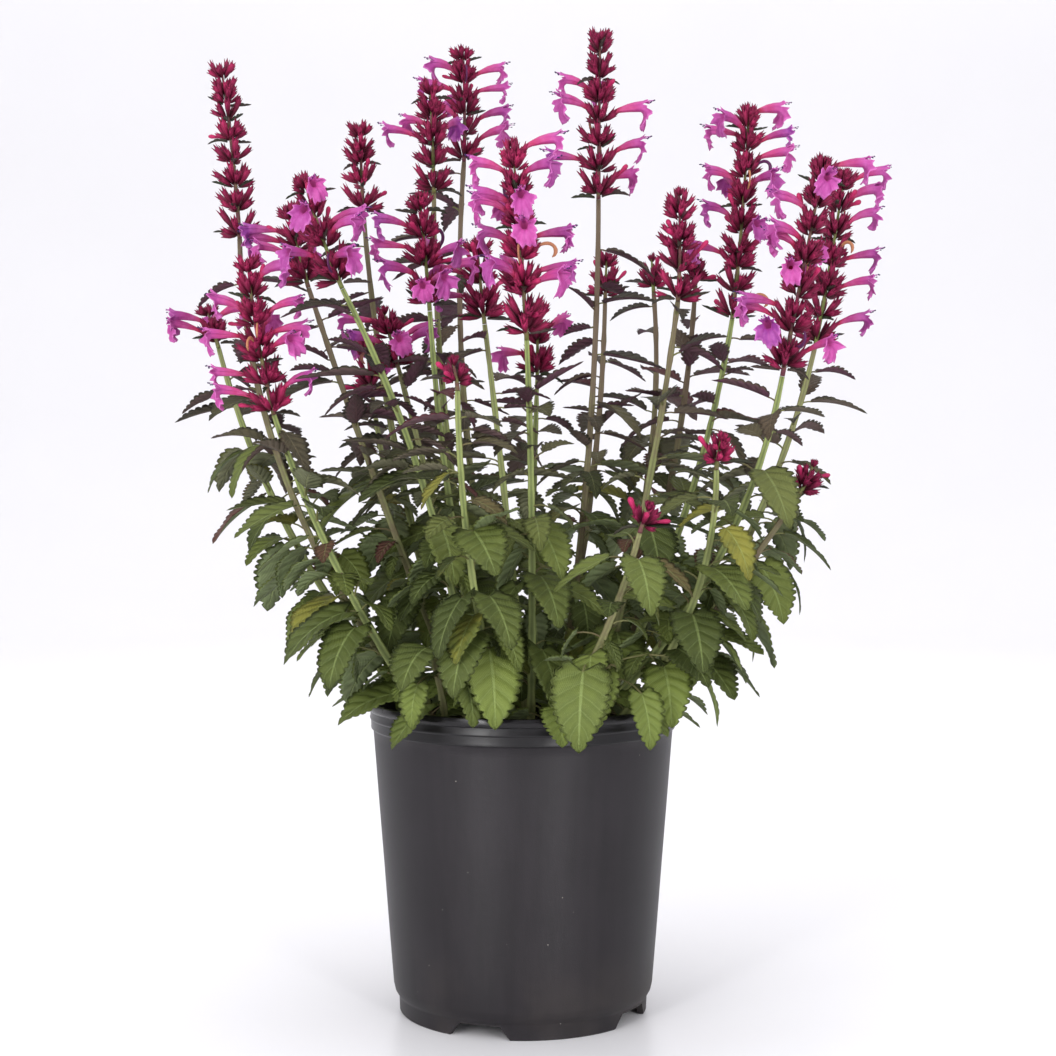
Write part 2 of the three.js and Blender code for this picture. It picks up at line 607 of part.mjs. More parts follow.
function isClear(made, box, ownTube) {
  return taken.every((other) =>
    other.made === ownTube || !boxesNear(box, other.box, LEAF_CLEARANCE) ||
    made.minGap(other.made, LEAF_CLEARANCE * 2) > LEAF_CLEARANCE);
}

function grow(plant, leaf) {
  for (const place of LEAF_PLACES) {
    const made = blade(placed(leaf, place));
    const box = made.boundingBox();
    if (!isClear(made, box, plant.tube)) continue;
    taken.push({ made, box });
    plant.blades.push(made);
    return;
  }
}

for (const [name, height, turn, pitch, petiole, droop, length, half] of OLD_LEAVES) {
  const plant = plants.find((one) => one.spec.name === name);
  grow(plant, oldLeaf(plant.spec, height, { turn, pitch, petiole, droop, length, half }));
}

// The other leaves are set one at a time on every stem in turn, so that no stem crowds out the others
// The leaves that would point into the clump have dropped off in its shade
const waiting = plants.map((plant) => leavesOf(plant.spec, plant.seed));
const mostLeaves = Math.max(...waiting.map((leaves) => leaves.length));
for (let i = 0; i < mostLeaves; i++)
  plants.forEach((plant, p) => {
    const leaf = waiting[p][i];
    if (!leaf) return;
    const away = vec(leaf.root.x, leaf.root.y, 0).normalize();
    const heading = vec(Math.cos(radians(leaf.turn)), Math.sin(radians(leaf.turn)), 0);
    if (heading.dot(away) > MOST_INWARD) grow(plant, leaf);
  });

for (const plant of plants) {
  const leafy = plant.blades.reduce((whole, one) => whole.add(one), plant.tube);
  addNode((plant.spec.tip ? "stem_" : "shoot_") + plant.spec.name, leafy, "foliage");
  if (plant.head) addNode("head_" + plant.spec.name, plant.head, "bloom");
}

export default agastache;
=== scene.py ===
import math

import bmesh
import bpy
import numpy as np
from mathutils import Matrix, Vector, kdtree


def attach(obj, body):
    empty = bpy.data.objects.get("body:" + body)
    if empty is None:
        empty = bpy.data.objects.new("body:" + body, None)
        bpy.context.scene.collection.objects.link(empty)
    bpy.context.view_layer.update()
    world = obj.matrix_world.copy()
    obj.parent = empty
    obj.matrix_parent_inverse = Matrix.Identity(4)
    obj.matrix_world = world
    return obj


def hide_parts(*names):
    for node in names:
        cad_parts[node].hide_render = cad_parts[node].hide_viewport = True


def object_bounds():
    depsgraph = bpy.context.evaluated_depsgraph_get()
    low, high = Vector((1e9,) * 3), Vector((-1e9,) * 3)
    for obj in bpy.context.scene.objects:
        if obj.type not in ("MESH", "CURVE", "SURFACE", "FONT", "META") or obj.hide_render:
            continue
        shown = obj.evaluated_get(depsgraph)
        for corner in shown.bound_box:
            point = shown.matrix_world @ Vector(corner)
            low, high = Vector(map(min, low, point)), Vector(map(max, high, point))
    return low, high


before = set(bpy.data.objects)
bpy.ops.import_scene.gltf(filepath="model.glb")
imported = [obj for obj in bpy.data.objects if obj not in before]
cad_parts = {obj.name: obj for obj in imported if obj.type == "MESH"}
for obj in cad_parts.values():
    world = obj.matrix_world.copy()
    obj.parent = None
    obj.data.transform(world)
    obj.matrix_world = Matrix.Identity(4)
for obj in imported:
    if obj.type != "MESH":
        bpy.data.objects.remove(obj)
cad_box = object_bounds()

# ---------------------------------------------------------------------------------------------------------
# Nursery pot
# Black polypropylene, injection moulded with one wall about 1.6 mm thick. A turned-over lip stiffens the
# mouth, a band with two ledges under it keeps stacked pots apart, and the stepped-in foot has four notches
# that drain it.

POT_OUTSIDE = [
    (0, 5), (61.5, 5), (62.4, 4.6), (62.6, 0.5), (63.1, 0), (65.2, 0), (65.8, 0.6), (66.1, 8.0), (66.5, 8.9),
    (67.2, 9.9), (68.2, 11.6), (69.0, 15), (71.4, 45), (73.9, 78), (76.6, 112), (79.1, 145), (79.5, 149.6),
    (80.1, 150.5), (80.7, 151.0), (80.8, 151.6), (80.7, 152.3), (80.8, 155.6), (81.3, 156.2), (81.4, 156.7),
    (81.1, 157.3), (81.1, 160.0), (81.8, 160.7), (82.4, 161.4), (82.5, 162.2), (82.5, 163.8), (82.1, 164.7),
    (81.3, 165),
]
POT_INSIDE = [
    (80.3, 164.9), (79.6, 164), (79.2, 160), (78.6, 152), (77.7, 147), (74.9, 112), (72.2, 78), (69.7, 45),
    (67.2, 14), (66.2, 9), (64.6, 7), (62, 6.6), (0, 6.6),
]
POT_NOTCHES = (-20, 61, 151, -110)  # degrees round from the front
NOTCH_HALF_LOW, NOTCH_HALF_HIGH, NOTCH_HIGH = 18, 11.5, 7.2
NOTCH_INNER, NOTCH_MEASURED, NOTCH_OUTER = 54, 66, 71  # radii; the half widths are those at the middle one
POT_SIDES, POT_SHARP = 160, 38
BAND_LOW, LIP_LOW, LEDGE = 0.1500, 0.1600, 0.0012  # heights in metres, as a finish reads them
SPECK_SCALE, DUST = 150, "#6b6259"


class Wire:
    """A socket of a finish. Operators on it add Math nodes, and make() adds a node of any other kind."""

    def __init__(self, tree, socket=None):
        self.tree, self.socket = tree, socket

    def make(self, kind, settings=None, values=None, out=0):
        node = self.tree.nodes.new("ShaderNode" + kind)
        for name, value in (settings or {}).items():
            if name == "stops":
                while len(node.color_ramp.elements) < len(value):
                    node.color_ramp.elements.new(1)
                for stop, (place, colour) in zip(node.color_ramp.elements, value):
                    stop.position, stop.color = place, colour
            else:
                setattr(node, name, value)
        for name, value in (values or {}).items():
            if isinstance(value, Wire):
                self.tree.links.new(value.socket, node.inputs[name])
            else:
                node.inputs[name].default_value = value
        return Wire(self.tree, node.outputs[out])

    def maths(self, operation, *values):
        return self.make("Math", {"operation": operation}, dict(enumerate((self, *values))))

    def __add__(self, other):
        return self.maths("ADD", other)

    def __sub__(self, other):
        return self.maths("SUBTRACT", other)

    def __mul__(self, other):
        return self.maths("MULTIPLY", other)

    def __truediv__(self, other):
        return self.maths("DIVIDE", other)
    def __rsub__(self, other):
        return self.make("Math", {"operation": "SUBTRACT"}, {0: other, 1: self})

    __radd__, __rmul__ = __add__, __mul__

    def rise(self, low, high):
        """0 below low and 1 above high, with a soft step between; high may be the lower of the two."""
        soft = {"interpolation_type": "SMOOTHSTEP"}
        return self.make("MapRange", soft, {"Value": self, "From Min": low, "From Max": high})

    def off_middle(self):
        """How far a share that runs from 0 to 1 is from its middle."""
        return (self - 0.5).maths("ABSOLUTE")

    def between(self, low, high):
        """This share of the way from one colour to another, each a wire or a dyer's code."""
        low, high = (dye(colour) if isinstance(colour, str) else colour for colour in (low, high))
        return self.make("Mix", {"data_type": "RGBA"}, {0: self, 6: low, 7: high}, out=2)

    def parts(self):
        """The three numbers of a vector."""
        node = self.make("SeparateXYZ", values={0: self}).socket.node
        return [Wire(self.tree, socket) for socket in node.outputs]

    def marks(self, name):
        """The three numbers that every point of the mesh carries under this name."""
        return self.make("Attribute", {"attribute_name": name}, out="Vector").parts()

    def noise(self, scale, detail, rough):
        values = {"Vector": self, "Scale": scale, "Detail": detail, "Roughness": rough}
        return self.make("TexNoise", values=values)

    def into(self, surface, socket):
        self.tree.links.new(self.socket, surface.inputs[socket])


def dye(code):
    """A colour as on a dyer's card, in the linear light that the shader works in."""
    shades = [int(code[i:i + 2], 16) / 255 for i in (1, 3, 5)]
    linear = [s / 12.92 if s <= 0.04045 else ((s + 0.055) / 1.055) ** 2.4 for s in shades]
    return (*linear, 1.0)


def laid_over(base, *coats):
    """The base colour under coats of others, each with the share that it covers."""
    for share, colour in coats:
        base = share.between(base, colour)
    return base


def finish(name, **constants):
    """A new material: (it, the wire of places on its piece, its surface shader)."""
    material = bpy.data.materials.new(name)
    material.use_nodes = True
    surface = material.node_tree.nodes["Principled BSDF"]
    for socket, value in constants.items():
        surface.inputs[socket.replace("_", " ")].default_value = value
    return material, Wire(material.node_tree).make("TexCoord", out="Object"), surface


def coat(surface, colour, roughness, height, depth):
    """Joins a finish to its surface shader, with height as relief that is depth metres deep."""
    relief = height.make("Bump", values={"Height": height, "Distance": depth, "Strength": 1.0})
    for wire, socket in ((colour, "Base Color"), (roughness, "Roughness"), (relief, "Normal")):
        wire.into(surface, socket)


def mesh_of(name, parts):
    """One mesh of closed parts in mm: (points, faces by number of corners, marks on the points)."""
    points, corners, sizes, marks, first = [], [], [], {}, 0
    for at, faces, notes in parts:
        points.append(at)
        for block in faces:
            block = np.asarray(block, int)
            corners.append((block + first).ravel())
            sizes.append(np.full(len(block), block.shape[1]))
        for key, value in notes.items():
            marks.setdefault(key, []).append(np.broadcast_to(value, (len(at), np.shape(value)[-1])))
        first += len(at)
    mesh = bpy.data.meshes.new(name)
    points, corners, sizes = np.concatenate(points), np.concatenate(corners), np.concatenate(sizes)
    mesh.vertices.add(len(points))
    mesh.vertices.foreach_set("co", (points * 0.001).astype(np.float32).ravel())
    mesh.loops.add(len(corners))
    mesh.loops.foreach_set("vertex_index", corners.astype(np.int32))
    mesh.polygons.add(len(sizes))
    mesh.polygons.foreach_set("loop_start", (np.cumsum(sizes) - sizes).astype(np.int32))
    for key, values in marks.items():
        mark = mesh.attributes.new(key, "FLOAT_VECTOR", "POINT")
        mark.data.foreach_set("vector", np.concatenate(values)[:, :3].astype(np.float32).ravel())
    mesh.update(calc_edges=True)
    mesh.shade_smooth()
    return mesh


def piece(name, mesh, material, node):
    """The mesh as a piece that stands for a CAD node."""
    made = bpy.data.objects.new(name, mesh)
    bpy.context.collection.objects.link(made)
    mesh.materials.append(material)
    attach(made, "root")
    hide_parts(node)
    return made


def skin(rings, closed=True):
    """A tube through rings that run anticlockwise seen from its far end, with both ends drawn to a point."""
    rings = np.asarray(rings, float)
    n, m = rings.shape[:2]
    a = (np.arange(n - 1)[:, None] * m + np.arange(m)[None, :]).ravel()
    b = (np.arange(n - 1)[:, None] * m + (np.arange(m)[None, :] + 1) % m).ravel()
    faces = [np.stack([a, b, b + m, a + m], 1)]
    points = rings.reshape(-1, 3)
    if closed:
        i, j = np.arange(m), (np.arange(m) + 1) % m
        low, high = n * m, n * m + 1
        faces.append(np.stack([j, i, np.full(m, low)], 1))
        faces.append(np.stack([i + (n - 1) * m, j + (n - 1) * m, np.full(m, high)], 1))
        points = np.concatenate([points, rings[:1].mean(1), rings[-1:].mean(1)])
    return points, faces


def turned(profile, sides):
    """A solid turned on the pot's axis from radii and heights that start and end on the axis."""
    turn = np.arange(sides) * 2 * np.pi / sides
    points, faces = skin([
        np.stack([r * np.cos(turn), r * np.sin(turn), np.full(sides, z)], 1) for r, z in profile if r > 0
    ])
    points[-2], points[-1] = (0, 0, profile[0][1]), (0, 0, profile[-1][1])
    return points, faces


def compass(turn):
    """The level way out at a turn from the pot's right, and the level way to the left of it."""
    out = np.array([math.cos(turn), math.sin(turn), 0])
    return out, np.array([-out[1], out[0], 0])


def notch_cutter(turn):
    """The notch's sloping-ended section, drawn from inside the floor out through the foot."""
    out, side = compass(math.radians(turn - 90))
    section = [(-NOTCH_HALF_LOW, -1), (NOTCH_HALF_LOW, -1), (NOTCH_HALF_HIGH, NOTCH_HIGH),
               (-NOTCH_HALF_HIGH, NOTCH_HIGH)]
    return skin([
        [out * r + side * s * r / NOTCH_MEASURED + np.array([0, 0, z]) for s, z in section]
        for r in (NOTCH_INNER, NOTCH_OUTER)
    ])


pot_mesh = mesh_of("pot_moulded", [(*turned(POT_OUTSIDE + POT_INSIDE, POT_SIDES), {})])
cutters = mesh_of("notch_cutters", [(*notch_cutter(turn), {}) for turn in POT_NOTCHES])
uncut = bpy.data.objects.new("pot_uncut", pot_mesh)
knife = bpy.data.objects.new("pot_knife", cutters)
for one in (uncut, knife):
    bpy.context.collection.objects.link(one)
cut = uncut.modifiers.new("notches", "BOOLEAN")
cut.operation, cut.object, cut.solver = "DIFFERENCE", knife, "EXACT"
pot_mesh = bpy.data.meshes.new_from_object(uncut.evaluated_get(bpy.context.evaluated_depsgraph_get()))
pot_mesh.name = "pot_moulded"
pot_mesh.shade_smooth()
pot_mesh.set_sharp_from_angle(angle=math.radians(POT_SHARP))
for one in (uncut, knife):
    bpy.data.objects.remove(one)

plastic, place, surface = finish("satin_black_plastic", Specular_IOR_Level=0.34)
height = place.parts()[2]
drawn = place.make("VectorMath", {"operation": "MULTIPLY"}, {0: place, 1: (1, 1, 0.06)})
streaks, clouds, grain = drawn.noise(160, 4, 0.6), place.noise(18, 3, 0.55), place.noise(1900, 2, 0.6)
band, lip = (height.rise(low, low + LEDGE) for low in (BAND_LOW, LIP_LOW))
cells, chosen = (
    place.make("TexVoronoi", {"feature": "F1"}, {"Vector": place, "Scale": SPECK_SCALE}, out)
    for out in ("Distance", "Color")
)
specks = cells.rise(0.05, 0.03) * chosen.parts()[0].rise(0.80, 0.84)
dust = height.rise(0.05, 0.0) * clouds.rise(0.42, 0.7) + height.rise(0.158, 0.1635) * clouds.rise(0.5, 0.75)
tint = laid_over(
    (streaks * 0.55 + clouds * 0.45).rise(0.34, 0.66).between("#120e12", "#1a161a"),
    # The near-black laid over the band and lip is painted shade and painted dark reflection; the dust and pale
    # specks are the pot's own.
    (dust * 0.14, DUST), (band * 0.8, "#0d0c0e"), (specks * 0.8, "#a09a92"),
)
matt = 0.44 + streaks * 0.05 - band * 0.14 - lip * 0.10 + dust * 0.12 + (grain - 0.5) * 0.08
coat(surface, tint, matt, grain * 0.7 + streaks * 0.25, 0.00006)
piece("pot_moulded", pot_mesh, plastic, "pot")

# ---------------------------------------------------------------------------------------------------------
# Potting mix
# Peat with crumbs and shreds of composted bark, filled to 15 mm below the lip and settled by watering, so
# its top is uneven.

MIX_SIDE = [(0, 6.9), (63.6, 6.9), (66.0, 9.1), (70.0, 60), (73.9, 110), (77.2, 149.4)]
MIX_TOP, MIX_RINGS, MIX_SIDES, MIX_WAVES = 150, 46, 150, 26
WAVE_HIGH, WAVE_LONGEST, GRIT = 0.34, 0.35, 0.25
MIX_CRUMBS, MIX_SHREDS, STREWN, PROUD = 620, 120, 75, 1.4
CRUMB_LEAST, CRUMB_MOST = 0.8, 2.4
SHRED_LEAST, SHRED_MOST, SHRED_FLAT = (3, 1.2, 0.5), (7, 2.4, 1.1), 0.35

chance = np.random.default_rng(41)
mix_radius = MIX_SIDE[-1][0]
mix_points, mix_faces = turned([
    *MIX_SIDE, *((mix_radius * (1 - i / MIX_RINGS), MIX_TOP) for i in range(1, MIX_RINGS)), (0, MIX_TOP)
], MIX_SIDES)
top = mix_points[:, 2] > MIX_TOP - 0.1
for _ in range(MIX_WAVES):
    pull, way, phase = chance.uniform(0.05, 0.9), chance.uniform(0, 6.3), chance.uniform(0, 6.3)
    across_mix = mix_points[top, 0] * math.cos(way) + mix_points[top, 1] * math.sin(way)
    mix_points[top, 2] += WAVE_HIGH / (WAVE_LONGEST + pull) ** 0.8 * np.sin(across_mix * pull + phase)
mix_points[top, 2] += chance.normal(0, GRIT, top.sum())
mix_parts = [(mix_points, mix_faces, {})]
crumb = bmesh.new()
bmesh.ops.create_icosphere(crumb, subdivisions=1, radius=1)
crumb_points = np.array([v.co for v in crumb.verts])
crumb_faces = np.array([[v.index for v in f.verts] for f in crumb.faces])
crumb.free()
for i in range(MIX_CRUMBS + MIX_SHREDS):
    shred = i >= MIX_CRUMBS
    size = chance.uniform(SHRED_LEAST, SHRED_MOST) if shred else chance.uniform(CRUMB_LEAST, CRUMB_MOST, 3)
    turn = np.linalg.qr(chance.normal(size=(3, 3)))[0]
    if shred:
        turn[:, 2] *= SHRED_FLAT
    distance, way = STREWN * math.sqrt(chance.uniform()), chance.uniform(0, 2 * math.pi)
    lump = (crumb_points * chance.uniform(0.7, 1.15, (len(crumb_points), 1)) * size) @ turn
    lump += (distance * math.cos(way), distance * math.sin(way), MIX_TOP + chance.uniform(0, PROUD))
    mix_parts.append((lump, [crumb_faces], {}))

peat, place, surface = finish("peat_and_bark", Specular_IOR_Level=0.25)
clods, fine, fleck = place.noise(120, 5, 0.65), place.noise(900, 3, 0.7), place.noise(420, 2, 0.5)
earth = clods.rise(0.38, 0.64).between("#1d1510", "#3a2a1e")
earth = (fleck.rise(0.62, 0.72) * 0.7).between(earth, "#6a4c33")
coat(surface, earth, 0.86 + fine * 0.14, clods * 0.6 + fine, 0.0012)
piece("mix_crumbed", mesh_of("mix_crumbed", mix_parts), peat, "potting_mix")

# ---------------------------------------------------------------------------------------------------------
# Square stems and their leaves
# Stiff square stems, green with grooved sides, bowed out of the mix towards the light. The leaves stand in
# opposite pairs: heart-shaped, round-toothed and green low down, narrow and dark purple-green above.

STEM_LOW, STEM_START, STEM_STATIONS = 138, 151.5, 40
STEM_HALF_AT_FOOT, STEM_HALF_AT_NECK = 1.9, 1.2
NODE_SWELL, NODE_LONG = 0.22, 2.6
STEM_SECTION = [
    (1, -0.66), (0.80, 0), (1, 0.66), (0.66, 1), (0, 0.80), (-0.66, 1), (-1, 0.66), (-0.80, 0), (-1, -0.66),
    (-0.66, -1), (0, -0.80), (0.66, -1),
]
BROAD_LEAF = dict(length=39, half=13.5, petiole=11, nod=44, swell=0.34, taper=0.86, fold=0.14)
NARROW_LEAF = dict(length=37, half=7, petiole=4, nod=10, swell=0.54, taper=1.1, fold=0.34)
FIRST_PAIR, PAIR_STEP, LAST_PAIR = 22, 32, 10
YOUNG_FROM, YOUNG_OVER, ALL_YOUNG = 225, 130, 0.55
SWAY = 1.03  # a bowed stem's length beside its chord
TIP_UNDER, TIP_NEAR = 0.6, 0.02
# The places that a leaf tries until its tip meets one of the CAD node: turn, lift and share of its size
LEAF_PLACES = [
    (0, 0, 1), (15, 8, 1), (-15, -8, 1), (30, -12, 1), (-30, 12, 1), (46, 6, 0.92), (-46, -6, 0.92),
    (8, -28, 0.9), (-8, 26, 0.9), (64, -14, 0.85), (-64, 14, 0.85), (24, 40, 0.8), (-24, -40, 0.8),
]

# Where each flowering stem stands, bends and ends, and the tip of its head. Then the share of the head in
# which whorls stand apart, and its open flowers: share of the head's length, and turn, with -90 to the front.
STEMS = {
    "a": ((-46, 8), (-132, 0, 300), (-151, 10, 410), (-161, 15, 501), 0.7, []),
    "b": ((-44, -30), (-104, -45, 258), (-125, -55, 315), (-137, -62, 391), 0.36,
          [(0.57, 180), (0.44, 196), (0.72, 2), (0.55, -12), (0.4, 16), (0.06, 198), (0.06, -6), (0.3, -60),
           (0.24, 184), (0.5, 90)]),
    "c": ((-55, 26), (-141, 34, 280), (-167, 40, 353), (-174, 45, 374), 0,
          [(0.5, 185), (0.1, 205), (0.25, 10), (0.3, 110)]),
    "d": ((-28, -4), (-84, -12, 300), (-112, -12, 382), (-122, -8, 424), 0,
          [(0.42, 182), (0.62, 168), (0.28, 204), (0.2, 100)]),
    "e": ((-25, -38), (-54, -54, 292), (-89, -70, 377), (-107, -74, 429), 0,
          [(0.48, 5), (0.32, -16), (0.4, -95), (0.66, -62), (0.16, -130), (0.12, -40), (0.3, 95)]),
    "f": ((-32, 38), (-76, 56, 325), (-90, 72, 431), (-92, 75, 478), 0.6, []),
    "g": ((-20, 12), (-50, 14, 277), (-66, 16, 338), (-75, 18, 372), 0,
          [(0.66, 178), (0.4, 192), (0.3, 0), (0.12, -22), (0.2, -85), (0.2, 80)]),
    "h": ((-15, 30), (-45, 40, 340), (-49, 44, 438), (-51, 46, 495), 0.3,
          [(0.34, 182), (0.5, 155), (0.4, 70)]),
    "i": ((-16, -18), (-42, -20, 300), (-48, -26, 369), (-53, -30, 428), 0,
          [(0.55, 178), (0.38, 196), (0.2, 184), (0.08, -88), (0.36, -28), (0.15, -55), (0.18, 2),
           (0.35, 85)]),
    "j": ((-4, 50), (-35, 74, 350), (-34, 92, 462), (-35, 98, 529), 0.5,
          [(0.5, 184), (0.64, 168), (0.66, 2), (0.52, 14), (0.26, 0), (0.1, -12), (0.45, 95), (0.2, 190)]),
    "k": ((2, -6), (-12, -12, 295), (-20, -13, 363), (-24, -11, 406), 0,
          [(0.42, 160), (0.16, 172), (0.3, 25)]),
    "l": ((4, -48), (4, -66, 290), (2, -86, 351), (-5, -92, 447), 0,
          [(0.86, 2), (0.78, -18), (0.5, -2), (0.41, 14), (0.78, 184), (0.6, 170), (0.5, 190), (0.62, -84),
           (0.4, -98), (0.2, -150), (0.18, -30), (0.36, 178), (0.28, 0), (0.55, 90), (0.3, 100)]),
    "m": ((18, 6), (36, 4, 312), (40, 5, 430), (41, 10, 518), 0.5,
          [(0.56, 180), (0.4, 194), (0.48, 0), (0.2, 184), (0.12, 0), (0.06, 24), (0.5, 88)]),
    "n": ((16, 56), (43, 78, 316), (47, 96, 383), (48, 98, 408), 0, []),
    "o": ((34, -24), (70, -40, 312), (78, -52, 372), (78, -56, 427), 0.4, []),
    "p": ((34, 46), (75, 88, 316), (76, 112, 389), (75, 116, 409), 0, []),
    "q": ((44, 20), (88, 50, 316), (96, 60, 389), (95, 62, 404), 0, []),
    "r": ((38, 2), (100, 16, 308), (113, 24, 368), (122, 29, 483), 0.3,
          [(0.92, 15), (0.82, 180), (0.84, 204), (0.57, 180), (0.76, 2), (0.71, -16), (0.38, 180),
           (0.27, 194), (0.3, -70), (0.6, -40), (0.5, 95)]),
    "s": ((26, -44), (108, -56, 262), (129, -66, 334), (149, -72, 441), 0,
          [(0.9, 12), (0.65, 180), (0.57, 192), (0.3, 180), (0.42, -88), (0.1, -104), (0.02, -58),
           (0.17, 188), (0.72, -70), (0.46, 170), (0.55, 85)]),
    "t": ((54, -4), (130, 8, 272), (157, 16, 354), (173, 22, 447), 0.2,
          [(0.88, 0), (0.73, -10), (0.56, 6), (0.4, -2), (0.23, -14), (0.06, 6), (0.35, 100)]),
    "u": ((56, -22), (116, -16, 234), (144, -14, 273), (152, -14, 290), 0, []),
    "v": ((42, -42), (88, -72, 232), (94, -92, 288), (96, -96, 303), 0, []),
    "w": ((-8, -56), (-28, -84, 262), (-31, -104, 326), (-33, -108, 339), 0, []),
    "x": ((12, -58), (44, -92, 218), (56, -108, 258), (60, -112, 270), 0, []),
    "y": ((-36, 52), (-76, 92, 268), (-88, 106, 330), (-92, 110, 362), 0, [(0.5, 120), (0.2, 60)]),
    "z": ((4, 62), (6, 96, 270), (8, 106, 338), (8, 110, 380), 0, [(0.5, 60), (0.3, 130)]),
}
SHOOTS = {
    "front_left": ((-38, -52), (-41, -57, 174), (-45, -66, 195)),
    "front_right": ((38, -56), (42, -62, 174), (48, -71, 194)),
    "back_left": ((-52, 38), (-57, 42, 176), (-68, 50, 200)),
    "back_right": ((50, 44), (54, 48, 176), (64, 57, 200)),
}
# The old leaves that hang in front, over the lip and at the sides: plant, height, turn, pitch, petiole,
# droop, length and half width
OLD_NOD = 46
OLD_LEAVES = [
    ("front_left", 184, -112, -4, 24, -44, 23, 7.5), ("front_left", 188, -58, -2, 28, -46, 27, 8.5),
    ("x", 190, -98, 2, 28, -42, 42, 14.5), ("front_right", 190, -108, -2, 24, -44, 29, 9.5),
    ("front_right", 183, -62, -8, 29, -38, 29, 9.5), ("front_right", 193, -10, 0, 36, -44, 36, 9),
    ("b", 202, -122, 16, 17, -50, 38, 13), ("b", 190, -175, 20, 19, -46, 36, 12),
    ("front_left", 194, -84, 30, 8, -60, 36, 13), ("w", 202, -112, 22, 15, -56, 40, 13),
    ("w", 220, -60, 20, 14, -46, 34, 12), ("l", 228, -68, 26, 12, -50, 36, 11.5),
    ("v", 212, -80, 18, 13, -48, 36, 13), ("c", 292, 196, 20, 8, -50, 30, 8),
    ("a", 296, 212, 12, 8, -50, 34, 9), ("u", 238, -6, 22, 9, -75, 38, 4.5),
    ("u", 214, -14, 6, 8, -60, 32, 4), ("t", 268, -10, 10, 8, -64, 38, 5.5),
    ("b", 214, 186, -8, 8, -44, 28, 3.2),
]
UP = np.array([0.0, 0.0, 1.0])

# A blade's make: its teeth start and end along it, and each has three places, with its depth there
TEETH_FROM, TEETH_OVER = 0.08, 0.885
TOOTH, TOOTH_DEPTH = (0, 0.34, 0.76), (-0.55, 0.34, 0.42)
VEINS, VEIN_SLANT = 6, 0.24
LOBE, PUCKER, RUFFLE, BLADE_THICK, KEEL = 0.18, 0.036, 0.06, 0.32, 0.5
BLADE_GRIDS = [(10, 10, 7), (7.5, 8, 7), (4, 7, 5), (0, 5, 5)]  # over this half width: teeth, points across
PETIOLE = ((0, 0.85), (0.12, 0.72), (0.4, 0.58), (0.75, 0.56), (1, 0.6), (1.1, 0.3))  # shares and radii

# The small leaves that fill the clump: the steps at which they may grow, and the room that they keep
FILL_STEPS, FILL_APART, FILL_INSIDE, FILL_BARE_FROM = {"stem_": 7.5, "shoot_": 6}, 3.2, 3, 300
FILL_YOUNG_FROM, FILL_YOUNG_OVER, FILL_TURNS = 215, 110, 8
MIX_CLEAR, LIP_CLEAR, LIP_INNER = 154, 171, 74
LIT_STEMS, SERE_SHARE, INSIDE_BOX = "belsri", 0.06, 0.4


def mix(a, b, t):
    return a + (b - a) * t


def unit(v):
    return v / np.linalg.norm(v)


def draws(seed):
    """The plant's own row of draws from 0 to 1."""
    while True:
        seed = (seed * 1664525 + 1013904223) % 4294967296
        yield seed / 4294967296


def bow(line, t):
    """The point, and the direction of growth, at share t of a bowed line of growth."""
    start, guide, end = line
    at = start * (1 - t) ** 2 + guide * 2 * t * (1 - t) + end * t * t
    return at, unit((guide - start) * (1 - t) + (end - guide) * t)


def held(value, low=0, high=1):
    return min(max(value, low), high)


def across(along):
    u = unit(np.cross((0, 1, 0), along))
    return u, np.cross(along, u)


def stem_line(spec):
    start, bend, end = np.array([*spec[0], STEM_START]), np.array(spec[1], float), np.array(spec[2], float)
    low, high = np.linalg.norm(bend - start), np.linalg.norm(end - bend)
    t = low / (low + high)
    return start, (bend - start * (1 - t) ** 2 - end * t * t) / (2 * t * (1 - t)), end


def leaf_of(young):
    """The measures of a leaf between the old broad ones, 0, and the young narrow ones, 1."""
    return {key: mix(BROAD_LEAF[key], NARROW_LEAF[key], young) for key in BROAD_LEAF}


def leaf_pairs(spec, seed):
    """The leaves that a stem sets as it grows, in opposite pairs, each pair a quarter turn from the last."""
    draw = draws(seed)
    line = stem_line(spec)
    length = np.linalg.norm(line[2] - line[0]) * SWAY
    i, s = 0, FIRST_PAIR * mix(0.6, 1.2, next(draw))
    while s < length - LAST_PAIR:
        at = bow(line, s / length)[0]
        turn = 90 * i + 50 * next(draw)
        for side in (0, 1):
            young = held((at[2] - YOUNG_FROM) / YOUNG_OVER)
            size = mix(0.82, 1.12, next(draw)) * (0.78 if s > length - 45 else 1)
            leaf = leaf_of(young)
            leaf["turn"] = turn + 180 * side + 24 * (next(draw) - 0.5)
            leaf["pitch"] = mix(14, 12, young) + 32 * (next(draw) - 0.5)
            leaf["droop"] = -mix(40, 24, young) + 28 * (next(draw) - 0.5)
            leaf["nod"] += 20 * (next(draw) - 0.5)
            leaf["roll"] = 34 * (next(draw) - 0.5)
            leaf["length"] *= size
            leaf["half"] *= size
            yield leaf | dict(root=at, young=young, share=s / length)
        i += 1
        s += PAIR_STEP * mix(0.85, 1.1, next(draw))


def old_leaf(spec, height, turn, pitch, petiole, droop, length, half):
    line, share = stem_line(spec), 0
    while bow(line, share)[0][2] < height and share < 0.98:
        share += 0.01
    return BROAD_LEAF | dict(
        root=bow(line, share)[0], share=share, turn=turn, pitch=pitch, petiole=petiole, droop=droop,
        length=length, half=half, roll=0, young=0, nod=OLD_NOD)


def placed(leaf, place=(0, 0, 1)):
    """The leaf with its directions worked out, turned and lifted to one of the places it may take."""
    turn, lift, share = place
    out, side = compass(math.radians(leaf["turn"] + turn))
    return leaf | dict(
        out=out, side=side, pitch=math.radians(leaf["pitch"] + lift), length=leaf["length"] * share,
        half=leaf["half"] * share, **{key: math.radians(leaf[key]) for key in ("droop", "roll", "nod")})


